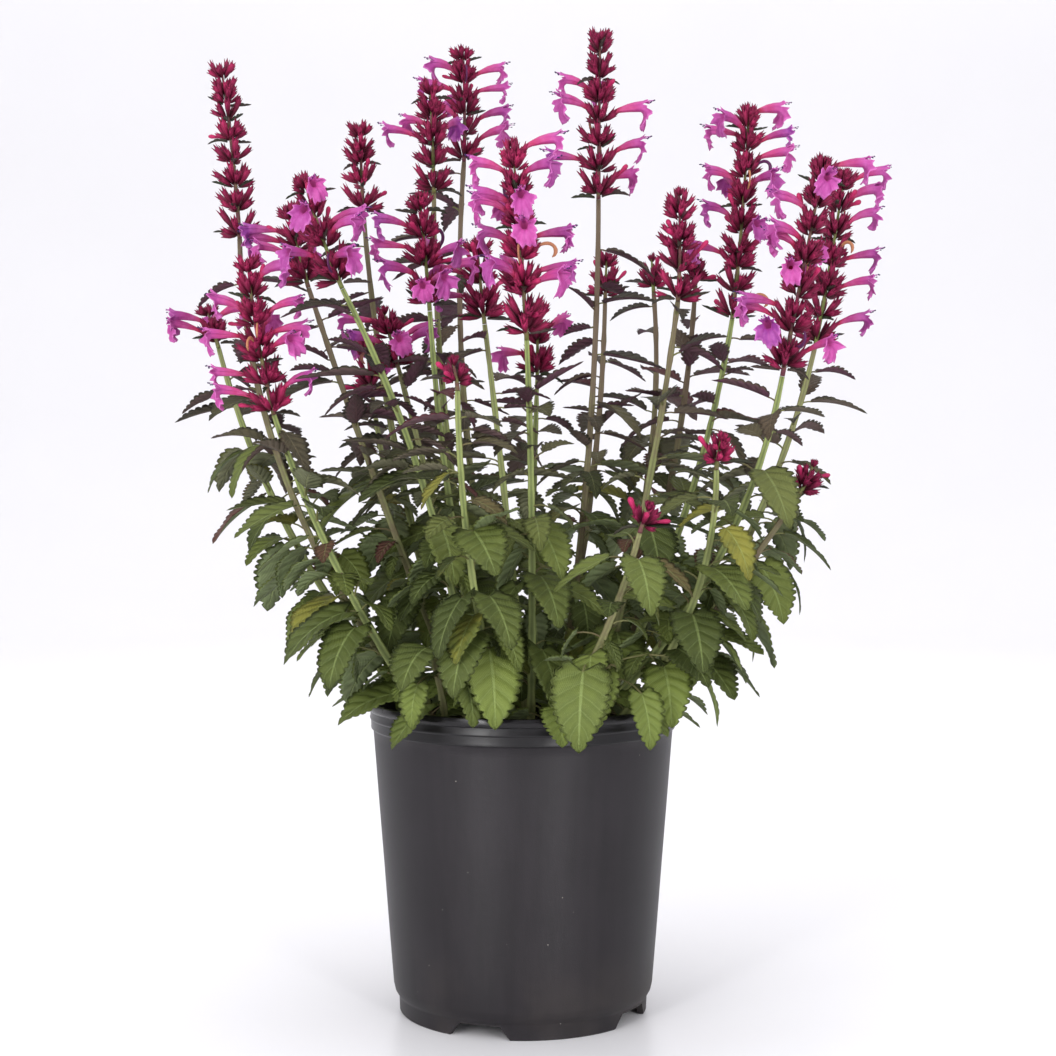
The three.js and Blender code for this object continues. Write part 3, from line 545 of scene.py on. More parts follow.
def heading(leaf, climb):
    """The leaf's way out at a climb, and the way up from it."""
    c, s = math.cos(climb), math.sin(climb)
    return leaf["out"] * c + UP * s, UP * c - leaf["out"] * s


def midrib(leaf, a):
    """Points on the midrib at shares a of its length, with the directions across and up there."""
    a = np.asarray(a, float)[..., None]
    pitch, length = leaf["pitch"], leaf["length"]
    first = pitch - leaf["nod"]
    bend = leaf["droop"] if abs(leaf["droop"]) > 1e-4 else 1e-4
    climb = first + bend * a
    base = leaf["root"] + leaf["petiole"] * heading(leaf, pitch)[0]
    at = base + leaf["out"] * length * (np.sin(climb) - math.sin(first)) / bend
    at = at + UP * length * (math.cos(first) - np.cos(climb)) / bend
    up = UP * np.cos(climb) - leaf["out"] * np.sin(climb)
    c, s = math.cos(leaf["roll"]), math.sin(leaf["roll"])
    return at, leaf["side"] * c + up * s, up * c - leaf["side"] * s


def blade(leaf, teeth, columns, luck, veins=VEINS):
    """A toothed blade, thin and closed, puckered between its side veins, with a keel under its midrib."""
    step = TEETH_OVER / teeth
    u = np.array([0, 0.02, 0.05, *(TEETH_FROM + step * (k + d) for k in range(teeth) for d in TOOTH), 1])
    cut = np.array([0, 0, 0.3, *(TOOTH_DEPTH * teeth), 0]) * (0.95 + 0.07 * leaf["half"])
    cut = cut * (0.75 + 0.5 * np.abs(np.sin(np.arange(len(u)) // 3 * 2.3 + 20 * luck)))
    widest = leaf["swell"] / (leaf["swell"] + leaf["taper"])
    width = u ** leaf["swell"] * (1 - u) ** leaf["taper"]
    width = leaf["half"] * width / (widest ** leaf["swell"] * (1 - widest) ** leaf["taper"])
    v = np.linspace(-1, 1, columns)
    v = np.sign(v) * np.abs(v) ** 0.85
    half = width[:, None] * v
    half += np.clip(cut, -0.22 * width, 0.3 * width)[:, None] * np.sign(v) * (np.abs(v) > 0.99)
    lobe = LOBE * held(leaf["half"] / leaf["length"] - 0.24, 0, 0.11) / 0.11
    along = u[:, None] - lobe * (1 - u[:, None]) ** 6 * v * v
    at, side, normal = midrib(leaf, along)
    vein = np.abs(np.sin(np.pi * (u[:, None] - VEIN_SLANT * np.abs(v)) * veins))
    pucker = PUCKER * leaf["half"] * (vein - 0.5) * np.sin(np.pi * np.abs(v))
    ruffle = RUFFLE * leaf["half"] * np.sin(2 * np.pi * (1.7 * u[:, None] + luck) + 1.5 * v) * v * v
    top = at + side * half[..., None] + normal * (leaf["fold"] * np.abs(half) + pucker + ruffle)[..., None]
    thick = BLADE_THICK + KEEL * np.sqrt(1 - u[:, None]) * (np.abs(v) < 0.01)
    bottom = top - normal * np.broadcast_to(thick, half.shape)[..., None]
    n, m = len(u) - 2, columns
    upper = np.arange(n * m).reshape(n, m) + 2
    lower = upper.copy()
    lower[:, 1:-1] = np.arange(n * (m - 2)).reshape(n, m - 2) + 2 + n * m
    points = np.concatenate([
        at[:1, m // 2] - normal[:1, m // 2] * 0.3, top[-1:, m // 2], top[1:-1].reshape(-1, 3),
        bottom[1:-1, 1:-1].reshape(-1, 3),
    ])
    mark = np.zeros((len(points), 3))
    mark[:2] = (0, 0, 1), (1, 0, 1)
    grid = np.stack(np.broadcast_arrays(u[1:-1, None], v[None, :], 1.0), -1)
    mark[2:2 + n * m] = grid.reshape(-1, 3)
    mark[2 + n * m:] = (grid[:, 1:-1] + (0, 0, 1)).reshape(-1, 3)
    faces = []
    for sheet, flip in ((upper, 1), (lower, -1)):
        a, b = sheet[:, :-1], sheet[:, 1:]
        quads = np.stack([a[:-1], a[1:], b[1:], b[:-1]], -1).reshape(-1, 4)
        low = np.stack([np.zeros(m - 1, int), a[0], b[0]], 1)
        high = np.stack([np.ones(m - 1, int), b[-1], a[-1]], 1)
        faces += [block[:, ::flip] for block in (quads, low, high)]
    return points, faces, mark


def petiole(leaf):
    """The leaf's stalk, from inside the stem to the foot of the blade."""
    reach, up = heading(leaf, leaf["pitch"])
    nodding = heading(leaf, leaf["pitch"] - leaf["nod"])[0]
    rings = []
    for share, radius in PETIOLE:
        at = leaf["root"] + reach * leaf["petiole"] * min(share, 1) - up * 0.35
        at = at + nodding * leaf["length"] * 0.4 * max(share - 1, 0)
        at = at + up * 0.10 * leaf["petiole"] * math.sin(math.pi * min(share, 1))
        rings.append([
            at + leaf["side"] * radius * math.cos(t) + up * radius * 0.8 * math.sin(t)
            for t in np.arange(6) * math.pi / 3
        ])
    return skin(np.array(rings)[:, ::-1])


def stalk(spec, nodes):
    """The square grooved stem with its peg in the mix, swollen a little at each pair of leaves."""
    line = stem_line(spec)
    section = np.array(STEM_SECTION)
    rings, marks = [], []
    for t in (-1, *np.linspace(0, 1, STEM_STATIONS)):
        at, along = bow(line, max(t, 0))
        u, v = across(along)
        half = mix(STEM_HALF_AT_FOOT, STEM_HALF_AT_NECK, max(t, 0))
        if t <= 0:
            at = np.array([*at[:2], STEM_LOW if t < 0 else STEM_START])
            u, v = np.array([1.0, 0, 0]), np.array([0, 1.0, 0])
        reach = np.linalg.norm(line[2] - line[0])
        swell = max([math.exp(-(((t - n) * reach / NODE_LONG) ** 2)) for n in nodes], default=0)
        half *= 1 + NODE_SWELL * swell
        rings.append(at + (section[:, :1] * u + section[:, 1:] * v) * half)
        ridge = (np.abs(section).max(1) > 0.9).astype(float)
        marks.append(np.stack([np.full(12, max(t, 0)), ridge, np.zeros(12)], 1))
    points, faces = skin(rings)
    return points, faces, np.concatenate([*marks, [[0, 0, 0], [1, 0, 0]]])


def corners_of(node):
    """A search tree of the corners of a CAD node, in mm."""
    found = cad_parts[node].data.vertices
    tree = kdtree.KDTree(len(found))
    for corner in found:
        tree.insert(corner.co * 1000, corner.index)
    tree.balance()
    return tree


def spots(leaf):
    """Points spread over a blade, by which leaves keep apart."""
    at, side, _ = midrib(leaf, [0.1, 0.5, 0.9, 0.3, 0.3, 0.62, 0.62])
    return at + side * (leaf["half"] * np.array([0, 0, 0, 0.8, -0.8, 0.65, -0.65]))[:, None]


def leaf_parts(leaf, luck, yellow):
    """The closed parts of a leaf, its blade and its stalk, with their marks."""
    grids = BLADE_GRIDS if leaf["young"] < ALL_YOUNG else BLADE_GRIDS[2:]
    teeth, columns = next(grid for least, *grid in grids if leaf["half"] > least)
    points, faces, mark = blade(leaf, teeth, columns, luck)
    stem_points, stem_faces = petiole(leaf)
    return [
        (points, faces, {"lie": mark, "tone": (leaf["young"], yellow, luck)}),
        (stem_points, stem_faces, {"lie": (0, 1, 0), "tone": (leaf["young"] * 0.8, yellow * 0.5, luck)}),
    ]


# Marks of leaves and stems. lie: share of the length, share of the half width (on a stem 1 on its ridges),
# and 0 on bark, 1 on a leaf's face, 2 on its back. tone: youth, yellowing and luck (on a stem, painted shade).
foliage, place, surface = finish("leaf_and_stem", Specular_IOR_Level=0.22, Emission_Strength=0.06)
u, v, side = place.marks("lie")
young, yellow, luck = place.marks("tone")
mottle, fine = place.noise(110, 4, 0.6), place.noise(1500, 3, 0.6)
out_v = v.maths("ABSOLUTE")
vein_gap = ((u - out_v * VEIN_SLANT + (mottle - 0.5) * 0.06) * VEINS).maths("FRACT").off_middle()
small_gap = ((u + out_v * 0.5) * 26).maths("FRACT").off_middle()
vein = vein_gap.rise(0.43, 0.49) * out_v.rise(0.98, 0.86)
small_vein = small_gap.rise(0.36, 0.48) * (1 - vein)
rib = out_v.rise(0.075, 0.03)
quilt = vein_gap.rise(0.5, 0.08) * 0.8 + small_gap.rise(0.5, 0.1) * 0.2
ageing = young.rise(0.25, 1.0)
green = (luck * 0.8 + mottle * 0.6 - 0.2).rise(0.05, 0.85).between("#37401b", "#5e6830")
dusk = (luck * 0.8 + mottle * 0.5 - 0.2).rise(0.1, 0.8).between("#343229", "#54463a")
low_light = place.parts()[2].rise(0.225, 0.165) * luck.rise(0.1, 0.8)
sere = (yellow + (mottle - 0.5) * 1.2).rise(0.35, 0.9)
face = laid_over(
    ageing.between((low_light * 0.6).between(green, "#6d7c39"), dusk),
    (luck.rise(0.90, 0.93) * young.rise(0.1, 0.3) * 0.8, "#5e2536"),
    # Darker in the furrows between the puckers: painted shade.
    (quilt.rise(0.75, 0.1) * 0.15, ageing.between("#2f3a1c", "#2a2522")),
    (fine.rise(0.60, 0.72) * 0.25, ageing.between("#98a368", "#7a6c60")),
    (sere * 0.85, "#837f35"),
    (out_v.rise(0.84, 1.0) * ageing * 0.5, "#47222e"),
    ((vein * 0.45 + small_vein * 0.22 + rib * 0.9) * 0.38, (ageing * 0.75).between("#90a062", "#63404a")),
)
back = laid_over(
    ageing.between("#75825a", "#573545"),
    (mottle.rise(0.35, 0.7) * 0.4, "#4d493c"),
    ((vein * 0.6 + rib) * 0.6, ageing.between("#87945f", "#643c4b")),
)
bark = laid_over(
    # Lighter along the stem's ridges than in its grooves: painted highlight and shade.
    (mottle * 0.5 + v * 0.4 + luck * 0.2).rise(0.2, 0.8).between("#59643a", "#858f57"),
    # A purple-brown flush that comes with age and mottle; on a stem its tone's third number adds to it as
    # painted shade.
    ((mottle * 0.5 + ageing * 0.25 + luck * 0.6).rise(0.55, 1.0) * 0.85, "#5a4440"),
    (u.rise(0.16, 0.0) * 0.6, "#4a3b28"),
)
tint = side.rise(0.3, 0.9).between(bark, side.rise(1.3, 1.7).between(face, back))
matt = 0.50 + mottle * 0.16 + side.rise(1.2, 1.8) * 0.15 - rib * 0.05
relief = fine * 0.2 + (quilt * 1.1 - rib * 0.5) * side.rise(0.3, 0.9) + mottle * 0.4
coat(surface, tint, matt, relief, 0.00065)
# Leaves and stems also glow faintly in their own colour: painted light that lifts their shadows.
tint.into(surface, "Emission Color")

plants = [("stem_", name, spec) for name, spec in STEMS.items()]
plants += [("shoot_", name, spec) for name, spec in SHOOTS.items()]
grown, places_taken = {}, []
for i, (kind, name, spec) in enumerate(plants):
    tree = corners_of(kind + name)
    leaves = [old_leaf(spec, *shape) for plant, *shape in OLD_LEAVES if plant == name]
    leaves += leaf_pairs(spec, 11 + 7 * i)
    grown[name] = []
    for leaf in leaves:
        for option in LEAF_PLACES:
            one = placed(leaf, option)
            tip, _, normal = midrib(one, [1.0])
            if tree.find(tip[0] - normal[0] * TIP_UNDER)[2] < TIP_NEAR:
                grown[name].append(one)
                places_taken.append(spots(one))
                break

# The smaller leaves and the side leaves in the axils fill the clump from within, wherever there is room
chance = np.random.default_rng(7)
low, high = (np.array(corner) * 1000 for corner in cad_box)
waiting = []
for kind, name, spec in plants:
    line = stem_line(spec)
    length = np.linalg.norm(line[2] - line[0]) * SWAY
    for s in np.arange(9, length - 6, FILL_STEPS[kind]):
        waiting.append((chance.uniform(), name, line, s / length))
for _, name, line, share in sorted(waiting, key=lambda one: one[0]):
    at = bow(line, share)[0]
    young = held((at[2] - FILL_YOUNG_FROM) / FILL_YOUNG_OVER)
    if chance.uniform() < held((at[2] - FILL_BARE_FROM) / 100, 0, 0.75):
        continue
    size = chance.uniform(0.34, 0.86) if young < 0.3 else chance.uniform(0.5, 0.95)
    for turn in chance.permutation(FILL_TURNS)[:5] * 360 // FILL_TURNS:
        leaf = leaf_of(young)
        leaf["length"] *= size
        leaf["half"] *= size * chance.uniform(0.85, 1.0)
        one = placed(leaf | dict(
            root=at, young=young, share=share, turn=turn + chance.uniform(-20, 20),
            pitch=chance.uniform(-8, 44), droop=-mix(42, 26, young) + chance.uniform(-22, 22),
            nod=leaf["nod"] + chance.uniform(-24, 18), roll=chance.uniform(-24, 24),
            petiole=leaf["petiole"] * chance.uniform(0.6, 1.6)))
        here = spots(one)
        around = np.hypot(here[:, 0], here[:, 1])
        in_mix, on_lip = here[:, 2] < MIX_CLEAR, (here[:, 2] < LIP_CLEAR) & (around > LIP_INNER)
        outside = (here < low + FILL_INSIDE).any() or (here > high - FILL_INSIDE).any()
        if outside or in_mix.any() or on_lip.any():
            continue
        if np.linalg.norm(np.concatenate(places_taken)[:, None] - here[None], axis=2).min() > FILL_APART:
            grown[name].append(one)
            places_taken.append(here)
            break

for kind, name, spec in plants:
    points, faces, marks = stalk(spec, sorted({leaf["share"] for leaf in grown[name]}))
    youth = np.clip((points[:, 2] - YOUNG_FROM) / 200, 0, 1)
    # The stems not listed as lit, within the clump, get more of the purple-brown flush: painted shade.
    shade_flush = chance.uniform(0, 0.15) if name in LIT_STEMS else chance.uniform(0.5, 1.1)
    parts = [(points, faces, {"lie": marks, "tone": np.stack([youth, youth * 0, youth * 0 + shade_flush], 1)})]
    for leaf in grown[name]:
        yellow = chance.uniform(0.4, 1.0) if chance.uniform() < SERE_SHARE and leaf["young"] < 0.6 else 0
        parts += leaf_parts(leaf, chance.uniform(), yellow)
    parts = [(np.clip(at, low + INSIDE_BOX, high - INSIDE_BOX), *rest) for at, *rest in parts]
    piece(f"leafy_{kind}{name}", mesh_of(f"leafy_{kind}{name}", parts), foliage, kind + name)

# ---------------------------------------------------------------------------------------------------------
# Flower heads
# Each head is a spike of whorls. A whorl fans out slender wine-red calyces with five sharp teeth, over a pair
# of narrow bracts. From some a pink corolla opens: a tube that widens into a ruffled mouth, with two small
# lobes above, one at each side, and a broad one that hangs.

SEAT_GAP, AXIS_SIDES, AXIS_RADIUS = 0.3, 5, 2.6
AXIS_HALF_AT_FOOT, AXIS_HALF_AT_TIP = 1.15, 0.5
WHORL_STEP, BARE_STEP, PAIRED = 9.5, 4, 0.24
CALYX_REACH, CALYX_RADIUS, CALYX_TOOTH = 13.4, 1.72, 1.14
CALYX_WALLS = ((0.11, 0.28), (0.25, 0.62), (0.54, 0.96), (0.80, 1.0))  # shares of length and radius
BUD_WALLS = ((0, 0.5), (0.35, 0.58), (0.6, 0.82), (0.78, 1.0), (0.92, 0.78), (0.99, 0.3))
FULL_BULK, TOP_CALYCES = 65, 7
BRACT_LEAF = dict(length=11, half=1.25, petiole=1.2, nod=0, swell=0.55, taper=0.95, fold=0.5)

# A corolla, from its start inside the calyx to its mouth, and its lobes: turn, half width and length
COROLLA_AROUND, COROLLA_THICK = 44, 0.26
COROLLA_START, COROLLA_KNEE, COROLLA_MOUTH, COROLLA_LEVEL = 4.5, 4.0, 5.0, 7.4
COROLLA_RADII = [(0, 0.85), (0.3, 1.35), (0.6, 2.05), (0.84, 2.5), (1, 2.65)]
COROLLA_LOBES = [(-90, 54, 7.2), (-20, 34, 4.8), (200, 34, 4.8), (60, 32, 3.6), (120, 32, 3.6)]
LIMB_ROWS, LIMB_START = (0.22, 0.46, 0.68, 0.86, 1), math.radians(16)
LIMB_HEIGHTS, LIMB_FLARE = (-1, -0.75, -0.3, 0.3, 1), (100, 84, 48, 36, 14)
HANG, PRESSED, RUFFLED = 0.32, 0.3, 1.4
STAMENS = ((-0.8, 2.2, 5.2), (-0.3, 3.0, 6.8), (0.4, 2.8, 6.3), (0.9, 2.0, 4.8))  # aside, up and out
WITHERED_RADII = (0.6, 0.7, 0.85, 0.95, 1.0, 1.0, 0.95, 1.05, 1.2, 1.1, 0.8, 0.3)
WITHERED = {"l": 3, "t": 4, "s": 3, "b": 2, "r": 3, "e": 2, "m": 2, "i": 1, "g": 1, "j": 1}
TIGHT_BUDS = {"s": 3, "t": 2, "l": 3, "o": 2, "e": 2, "b": 2, "n": 2, "x": 2, "d": 1, "j": 1, "r": 1, "m": 1}
ROUND = 6.2832

# The kinds of surface on a head, as marked on its points
AXIS, CALYX_KIND, COROLLA, THROAT, STAMEN, ANTHER, SPENT, BRACT = 0, 1, 2.0, 2.5, 3.0, 4.0, 5.0, 6


def calyx_shape():
    """A calyx with its short stalk, one long and one in radius: (points as across, across, along), faces."""
    turn = np.arange(10) * np.pi / 5
    rib = np.arange(10) % 2 == 0
    ring = np.stack([np.cos(turn), np.sin(turn)], 1)
    walls = [
        np.column_stack([ring * np.where(rib, r, r * 0.86)[:, None], np.full(10, z)]) for z, r in CALYX_WALLS
    ]
    tips = np.column_stack([ring[rib] * CALYX_TOOTH, np.full(5, 1.0)])
    inner = np.column_stack([ring[rib] * 0.70, np.full(5, 0.79)])
    points = np.concatenate([[[0, 0, 0]], *walls, tips, inner, [[0, 0, 0.65]]])
    threes, fours = [], []
    for i in range(10):
        j = (i + 1) % 10
        threes.append((0, 1 + j, 1 + i))
        fours += [(low + i, low + j, low + 10 + j, low + 10 + i) for low in (1, 11, 21)]
    for k in range(5):
        rib_at, left, right = 31 + 2 * k, 31 + (2 * k - 1) % 10, 31 + (2 * k + 1) % 10
        tip, low = 41 + k, 46 + k
        threes += [(left, rib_at, tip), (rib_at, right, tip), (right, low, tip), (low, left, tip)]
        threes += [(left, low, 51), (low, right, 51)]
    return points, np.array(threes), np.array(fours)


def bud_shape():
    """A closed bud, a narrow tube with a round end, one long and one in radius."""
    turn = np.arange(7) * 2 * np.pi / 7
    return skin([
        np.column_stack([r * np.cos(turn), r * np.sin(turn), np.full(7, z)]) for z, r in BUD_WALLS
    ])


def set_along(shape, base, aim, bend, length, radius):
    """The shape's points stood on base along aim, curving a little towards bend."""
    u, v = across(aim) if abs(aim[1]) < 0.99 else (np.array([1.0, 0, 0]), np.array([0, 0, 1.0]))
    at = base + shape[:, :1] * u * radius + shape[:, 1:2] * v * radius + shape[:, 2:] * aim * length
    return at + bend * (0.16 * length) * shape[:, 2:] ** 2


def spread(axes, azimuth):
    """The way out from a line of growth, given its two cross axes, at an azimuth round it."""
    return axes[0] * math.cos(azimuth) + axes[1] * math.sin(azimuth)


def head_line(spec):
    stem = stem_line(spec)
    along = bow(stem, 1)[1]
    start, end = stem[2] + along * SEAT_GAP, np.array(spec[3], float)
    length = np.linalg.norm(end - start)
    line = start, mix(start, end, 0.25) + along * length * 0.25, end
    return line, length, along, min(1, 0.4 + length / FULL_BULK)


def whorls(spec, length):
    s, found = 0, []
    while s < length - 5:
        share = s / length
        if share < spec[4] and s > 0:
            s += BARE_STEP
        step = min(WHORL_STEP * mix(1, 0.6, share), length - 2 - s)
        found.append((s, s + step))
        s += step
    return found


def main_calyces(spec):
    """By whorl, the five calyces from which corollas open: their foot on the axis, their tip and their ways."""
    (line, length, seat, bulk), found = head_line(spec), []
    for number, (low, high) in enumerate(whorls(spec, length)):
        drawn = PAIRED * (high - low) * (-1 if number % 2 else 1) * (low / length >= spec[4])
        corners, share = [], low / length
        for s in (low, high):
            at, along = bow(line, s / length)
            u, v = across(seat if s == 0 else along)
            radius = mix(AXIS_RADIUS, AXIS_RADIUS * 0.5, s / length)
            turn = (np.arange(AXIS_SIDES) + 0.35 * s / WHORL_STEP) * 2 * np.pi / AXIS_SIDES
            corners.append(at + radius * (np.cos(turn)[:, None] * u + np.sin(turn)[:, None] * v))
        at, along = bow(line, (low + high) / 2 / length)
        foot = bow(line, mix(low, high, 0.2) / length)[0] + along * drawn
        whorl = []
        for i in range(AXIS_SIDES):
            j = (i + 1) % AXIS_SIDES
            middle = (corners[0][i] + corners[0][j] + corners[1][i] + corners[1][j]) / 4
            out = unit(middle - at)
            lean = math.radians(mix(58, 40, share) + (12 if i % 2 else -12))
            reach = CALYX_REACH * bulk * mix(1, 0.66, share) * (1 if i % 3 else 0.86)
            tip = middle + out * reach * math.sin(lean) + along * (reach * math.cos(lean) + drawn)
            whorl.append(dict(foot=foot, tip=tip, aim=unit(tip - at), out=out, along=along, share=share))
        found.append(whorl)
    return found


def corolla(holder, level, chance):
    """An open corolla: its closed sheet, then its stamens."""
    n = COROLLA_AROUND
    aim, tip = holder["aim"], holder["tip"]
    flat_side = np.array([-level[1], level[0], 0])
    mouth = tip + aim * COROLLA_MOUTH + level * COROLLA_LEVEL
    tube = tip - aim * COROLLA_START, tip + aim * COROLLA_KNEE, mouth
    turn = np.arange(n) * 2 * np.pi / n
    phase, size, roll = chance.uniform(0, 6.3), chance.uniform(0.9, 1.1), chance.uniform(-0.6, 0.6)
    sheet, mark = [], []
    for t, radius in COROLLA_RADII:
        at, along = bow(tube, t)
        side = unit(flat_side - along * (flat_side @ along))
        up, c, s = np.cross(along, side), math.cos(roll * t), math.sin(roll * t)
        side, up = side * c + up * s, up * c - side * s
        ring = np.cos(turn)[:, None] * side * mix(1, 0.74, t) + np.sin(turn)[:, None] * up
        crease = 1 + 0.05 * t * np.sin(5 * turn + 1.2)
        sheet.append(at + ring * (radius * size * crease)[:, None])
        mark.append(np.column_stack([np.full(n, 0.55 * t), turn / ROUND, np.full(n, COROLLA)]))
    degrees = (np.degrees(turn) + 90) % 360 - 90
    reach, part = np.zeros(n), np.zeros(n)
    for centre, half_width, length in COROLLA_LOBES:
        gap = (degrees - centre + 180) % 360 - 180
        lobe = length * np.cos(np.clip(gap / half_width, -1, 1) * np.pi / 2) ** 0.36
        reach = np.maximum(reach, lobe * chance.uniform(0.86, 1.12))
    scallops = 1 + 0.14 * np.sin(15 * turn + phase) + 0.06 * np.sin(5 * turn + 2 * phase)
    reach = (0.7 + reach) * size * scallops
    flare = np.radians(np.interp(np.sin(turn), LIMB_HEIGHTS, LIMB_FLARE) + chance.uniform(-10, 10))
    hang = np.abs(np.cos(turn)) * np.clip(0.6 - np.sin(turn), 0, 1)
    radial = ring / np.linalg.norm(ring, axis=1)[:, None]
    for s in LIMB_ROWS:
        bend = (LIMB_START + (flare - LIMB_START) * s ** 0.6)[:, None]
        at = sheet[4] + (np.cos(bend) * along + np.sin(bend) * radial) * (reach * s)[:, None]
        at = at - UP * (HANG * hang * reach * s ** 1.5)[:, None]
        at = at - up * (PRESSED * np.clip(np.sin(turn) - 0.3, 0, 1) * reach * s)[:, None]
        wave = np.sin(11 * turn + phase) * 0.6 + np.sin(6 * turn + 2.3 * phase) * 0.5
        ruffle = s * s * wave * np.minimum(reach / 4, 1.2)
        ruffle_way = along * np.sin(flare)[:, None] + radial * np.cos(flare)[:, None]
        sheet.append(at + ruffle_way * ruffle[:, None] * RUFFLED)
        mark.append(np.column_stack([np.full(n, 0.55 + 0.45 * s), turn / ROUND, np.full(n, COROLLA)]))
    outer, mark = np.array(sheet), np.array(mark)
    tangent = np.roll(outer, -1, 1) - np.roll(outer, 1, 1)
    normal = np.cross(tangent, np.gradient(outer, axis=0))
    inner = outer - COROLLA_THICK * normal / (np.linalg.norm(normal, axis=2, keepdims=True) + 1e-9)
    rows = 2 * len(outer)
    points = np.concatenate([outer, inner[::-1]]).reshape(-1, 3)
    a = (np.arange(rows)[:, None] * n + np.arange(n)).ravel()
    b = (np.arange(rows)[:, None] * n + (np.arange(n) + 1) % n).ravel()
    faces = np.stack([a, b, (b + n) % len(points), (a + n) % len(points)], 1)
    marks = np.concatenate([mark, mark[::-1] + (0, 0, THROAT - COROLLA)]).reshape(-1, 3)
    parts = [(points, [faces], marks)]
    for aside, lift, reach_out in STAMENS:
        end = mouth + along * reach_out * size + up * lift + side * aside * 1.5
        begin = mouth - along * 3 + up * 1.4 + side * aside * 0.5
        line = begin, (begin + end) / 2 + up * 0.9, end
        thread, thread_faces = skin([
            [bow(line, t)[0] + 0.15 * spread((side, up), w) for w in (0, 2.1, 4.2)] for t in (0, 0.35, 0.7, 1)
        ])
        parts.append((thread, thread_faces, np.tile((0.5, 0, STAMEN), (len(thread), 1))))
        anther, anther_faces = skin([
            [end + along * z + r * spread((side, up), w) for w in np.arange(4) * np.pi / 2]
            for z, r in ((-0.3, 0.22), (0.15, 0.40), (0.6, 0.2))
        ])
        parts.append((anther, anther_faces, np.tile((1.0, 0, ANTHER), (len(anther), 1))))
    return parts


def withered(holder, chance):
    """A spent corolla, shrunk to a curled tube."""
    way, at = holder["aim"], holder["tip"] - holder["aim"] * 3
    curl = unit(np.cross(way, UP)) * chance.choice([-1, 1])
    rings = []
    for i, radius in enumerate(WITHERED_RADII):
        rings.append([
            at + radius * (curl * math.cos(w) * 0.5 + np.cross(way, curl) * math.sin(w))
            for w in np.arange(6) * np.pi / 3
        ])
        turn = 0.03 + 0.045 * i
        way = unit(way * math.cos(turn) + np.cross(curl, way) * math.sin(turn) - UP * 0.05)
        at = at + way * 1.35
    points, faces = skin(rings)
    return points, faces, np.tile((0.5, 0, SPENT), (len(points), 1))


# Marks of heads. lie: share of the length, turn round the tube, kind of surface. tone: freshness and luck.
bloom, place, surface = finish("calyx_and_corolla", Specular_IOR_Level=0.22, Emission_Strength=0.14)
u, v, kind = place.marks("lie")
fresh, luck, _ = place.marks("tone")
mottle, fine = place.noise(220, 3, 0.6), place.noise(2400, 2, 0.6)
veined = (v * ROUND * 5).maths("SINE").rise(0.1, 1.0)
up_calyx, chance_tint = (u + (mottle - 0.5) * 0.5).rise(0.1, 0.9), luck + (mottle - 0.5) * 0.3
wine, red = up_calyx.between("#3f0719", "#7a133d"), up_calyx.between("#700e32", "#a32353")
calyx = laid_over(
    (fresh + (luck - 0.5) * 0.6).rise(0.25, 1.0).between(wine, red),
    (veined * 0.25, "#2f0815"), (u.rise(0.86, 1.0) * 0.35, "#2c0916"),
)
limb = chance_tint.rise(0.15, 0.95).between("#a03d82", "#88367c")
limb = luck.rise(0.90, 0.97).between(limb, "#74297a")
tube = chance_tint.rise(0.1, 0.9).between("#a03163", "#84275f")
streak = (v * 46 + (mottle - 0.5) * 0.8).maths("SINE").rise(0.1, 0.95) * u.rise(0.15, 0.5) * u.rise(1.0, 0.75)
inside = kind.rise(2.2, 2.45)
petal = laid_over(
    u.rise(0.08, 0.3).between("#96203f", u.rise(0.28, 0.66).between(tube, limb)),
    (u.rise(0.9, 1.0) * 0.45, "#cc78ba"), (streak * 0.32, "#84276f"),
    (mottle.rise(0.35, 0.75) * 0.2, "#c878b4"), (inside * u.rise(0.66, 0.4) * 0.25, "#8c2a68"),
)
# Open corollas glow faintly in their own colour, and their throats glow bright pink: painted light that lifts
# the shade in and around the tubes.
opened = kind.rise(1.4, 1.6)
glowing = kind.rise(2.8, 2.7)
glow = (opened * glowing).between("#000000", petal)
glow = (inside * glowing * u.rise(0.7, 0.5)).between(glow, "#ff6cc8")
glow.into(surface, "Emission Color")
dry = (luck + (mottle - 0.5) * 0.4).rise(0.35, 0.6).between("#4f2149", "#a56e50")
tint = laid_over(
    (mottle * 0.8 + luck * 0.3).rise(0.3, 0.8).between("#66703a", "#5c2c3a"),
    (kind.rise(0.4, 0.6), calyx), (opened, petal), (kind.rise(2.7, 2.8), "#b052a6"),
    (kind.rise(3.4, 3.6), "#35204c"), (kind.rise(4.4, 4.6), dry),
    (kind.rise(5.4, 5.6), luck.between("#343c2a", "#4a3c3a")),
)
matt = 0.52 + mottle * 0.16 - opened * 0.05
coat(surface, tint, matt, fine * 0.4 + mottle * 0.6 + streak * 0.5 - veined * 0.5, 0.00018)

CALYX, CALYX_THREES, CALYX_FOURS = calyx_shape()
CALYX_MARKS = np.column_stack([
    CALYX[:, 2], np.arctan2(CALYX[:, 1], CALYX[:, 0]) / ROUND, np.full(len(CALYX), CALYX_KIND)
])
BUD, BUD_FACES = bud_shape()
BUD_MARKS = np.column_stack([0.35 + 0.6 * BUD[:, 2], BUD[:, 0] * 0, np.full(len(BUD), CALYX_KIND)])
box_low, box_high = low + INSIDE_BOX, high - INSIDE_BOX


def add(points, faces, marks, fresh=0.0, luck=None):
    """Sets a closed part on the head that is being made, kept inside the plant's box."""
    luck = chance.uniform() if luck is None else luck
    parts.append((np.clip(points, box_low, box_high), faces, {"lie": marks, "tone": (fresh, luck, 0)}))


def add_calyx(base, way, reach, radius, along, glow):
    if way[2] > 0:
        reach = reach * min(1, max(0.3, (box_high[2] - 1.5 - base[2]) / max(way[2] * reach, 0.1)))
    points = set_along(CALYX, base, way, along - way * (along @ way), reach, radius)
    add(points, [CALYX_THREES, CALYX_FOURS], CALYX_MARKS, glow)
    return base + way * reach


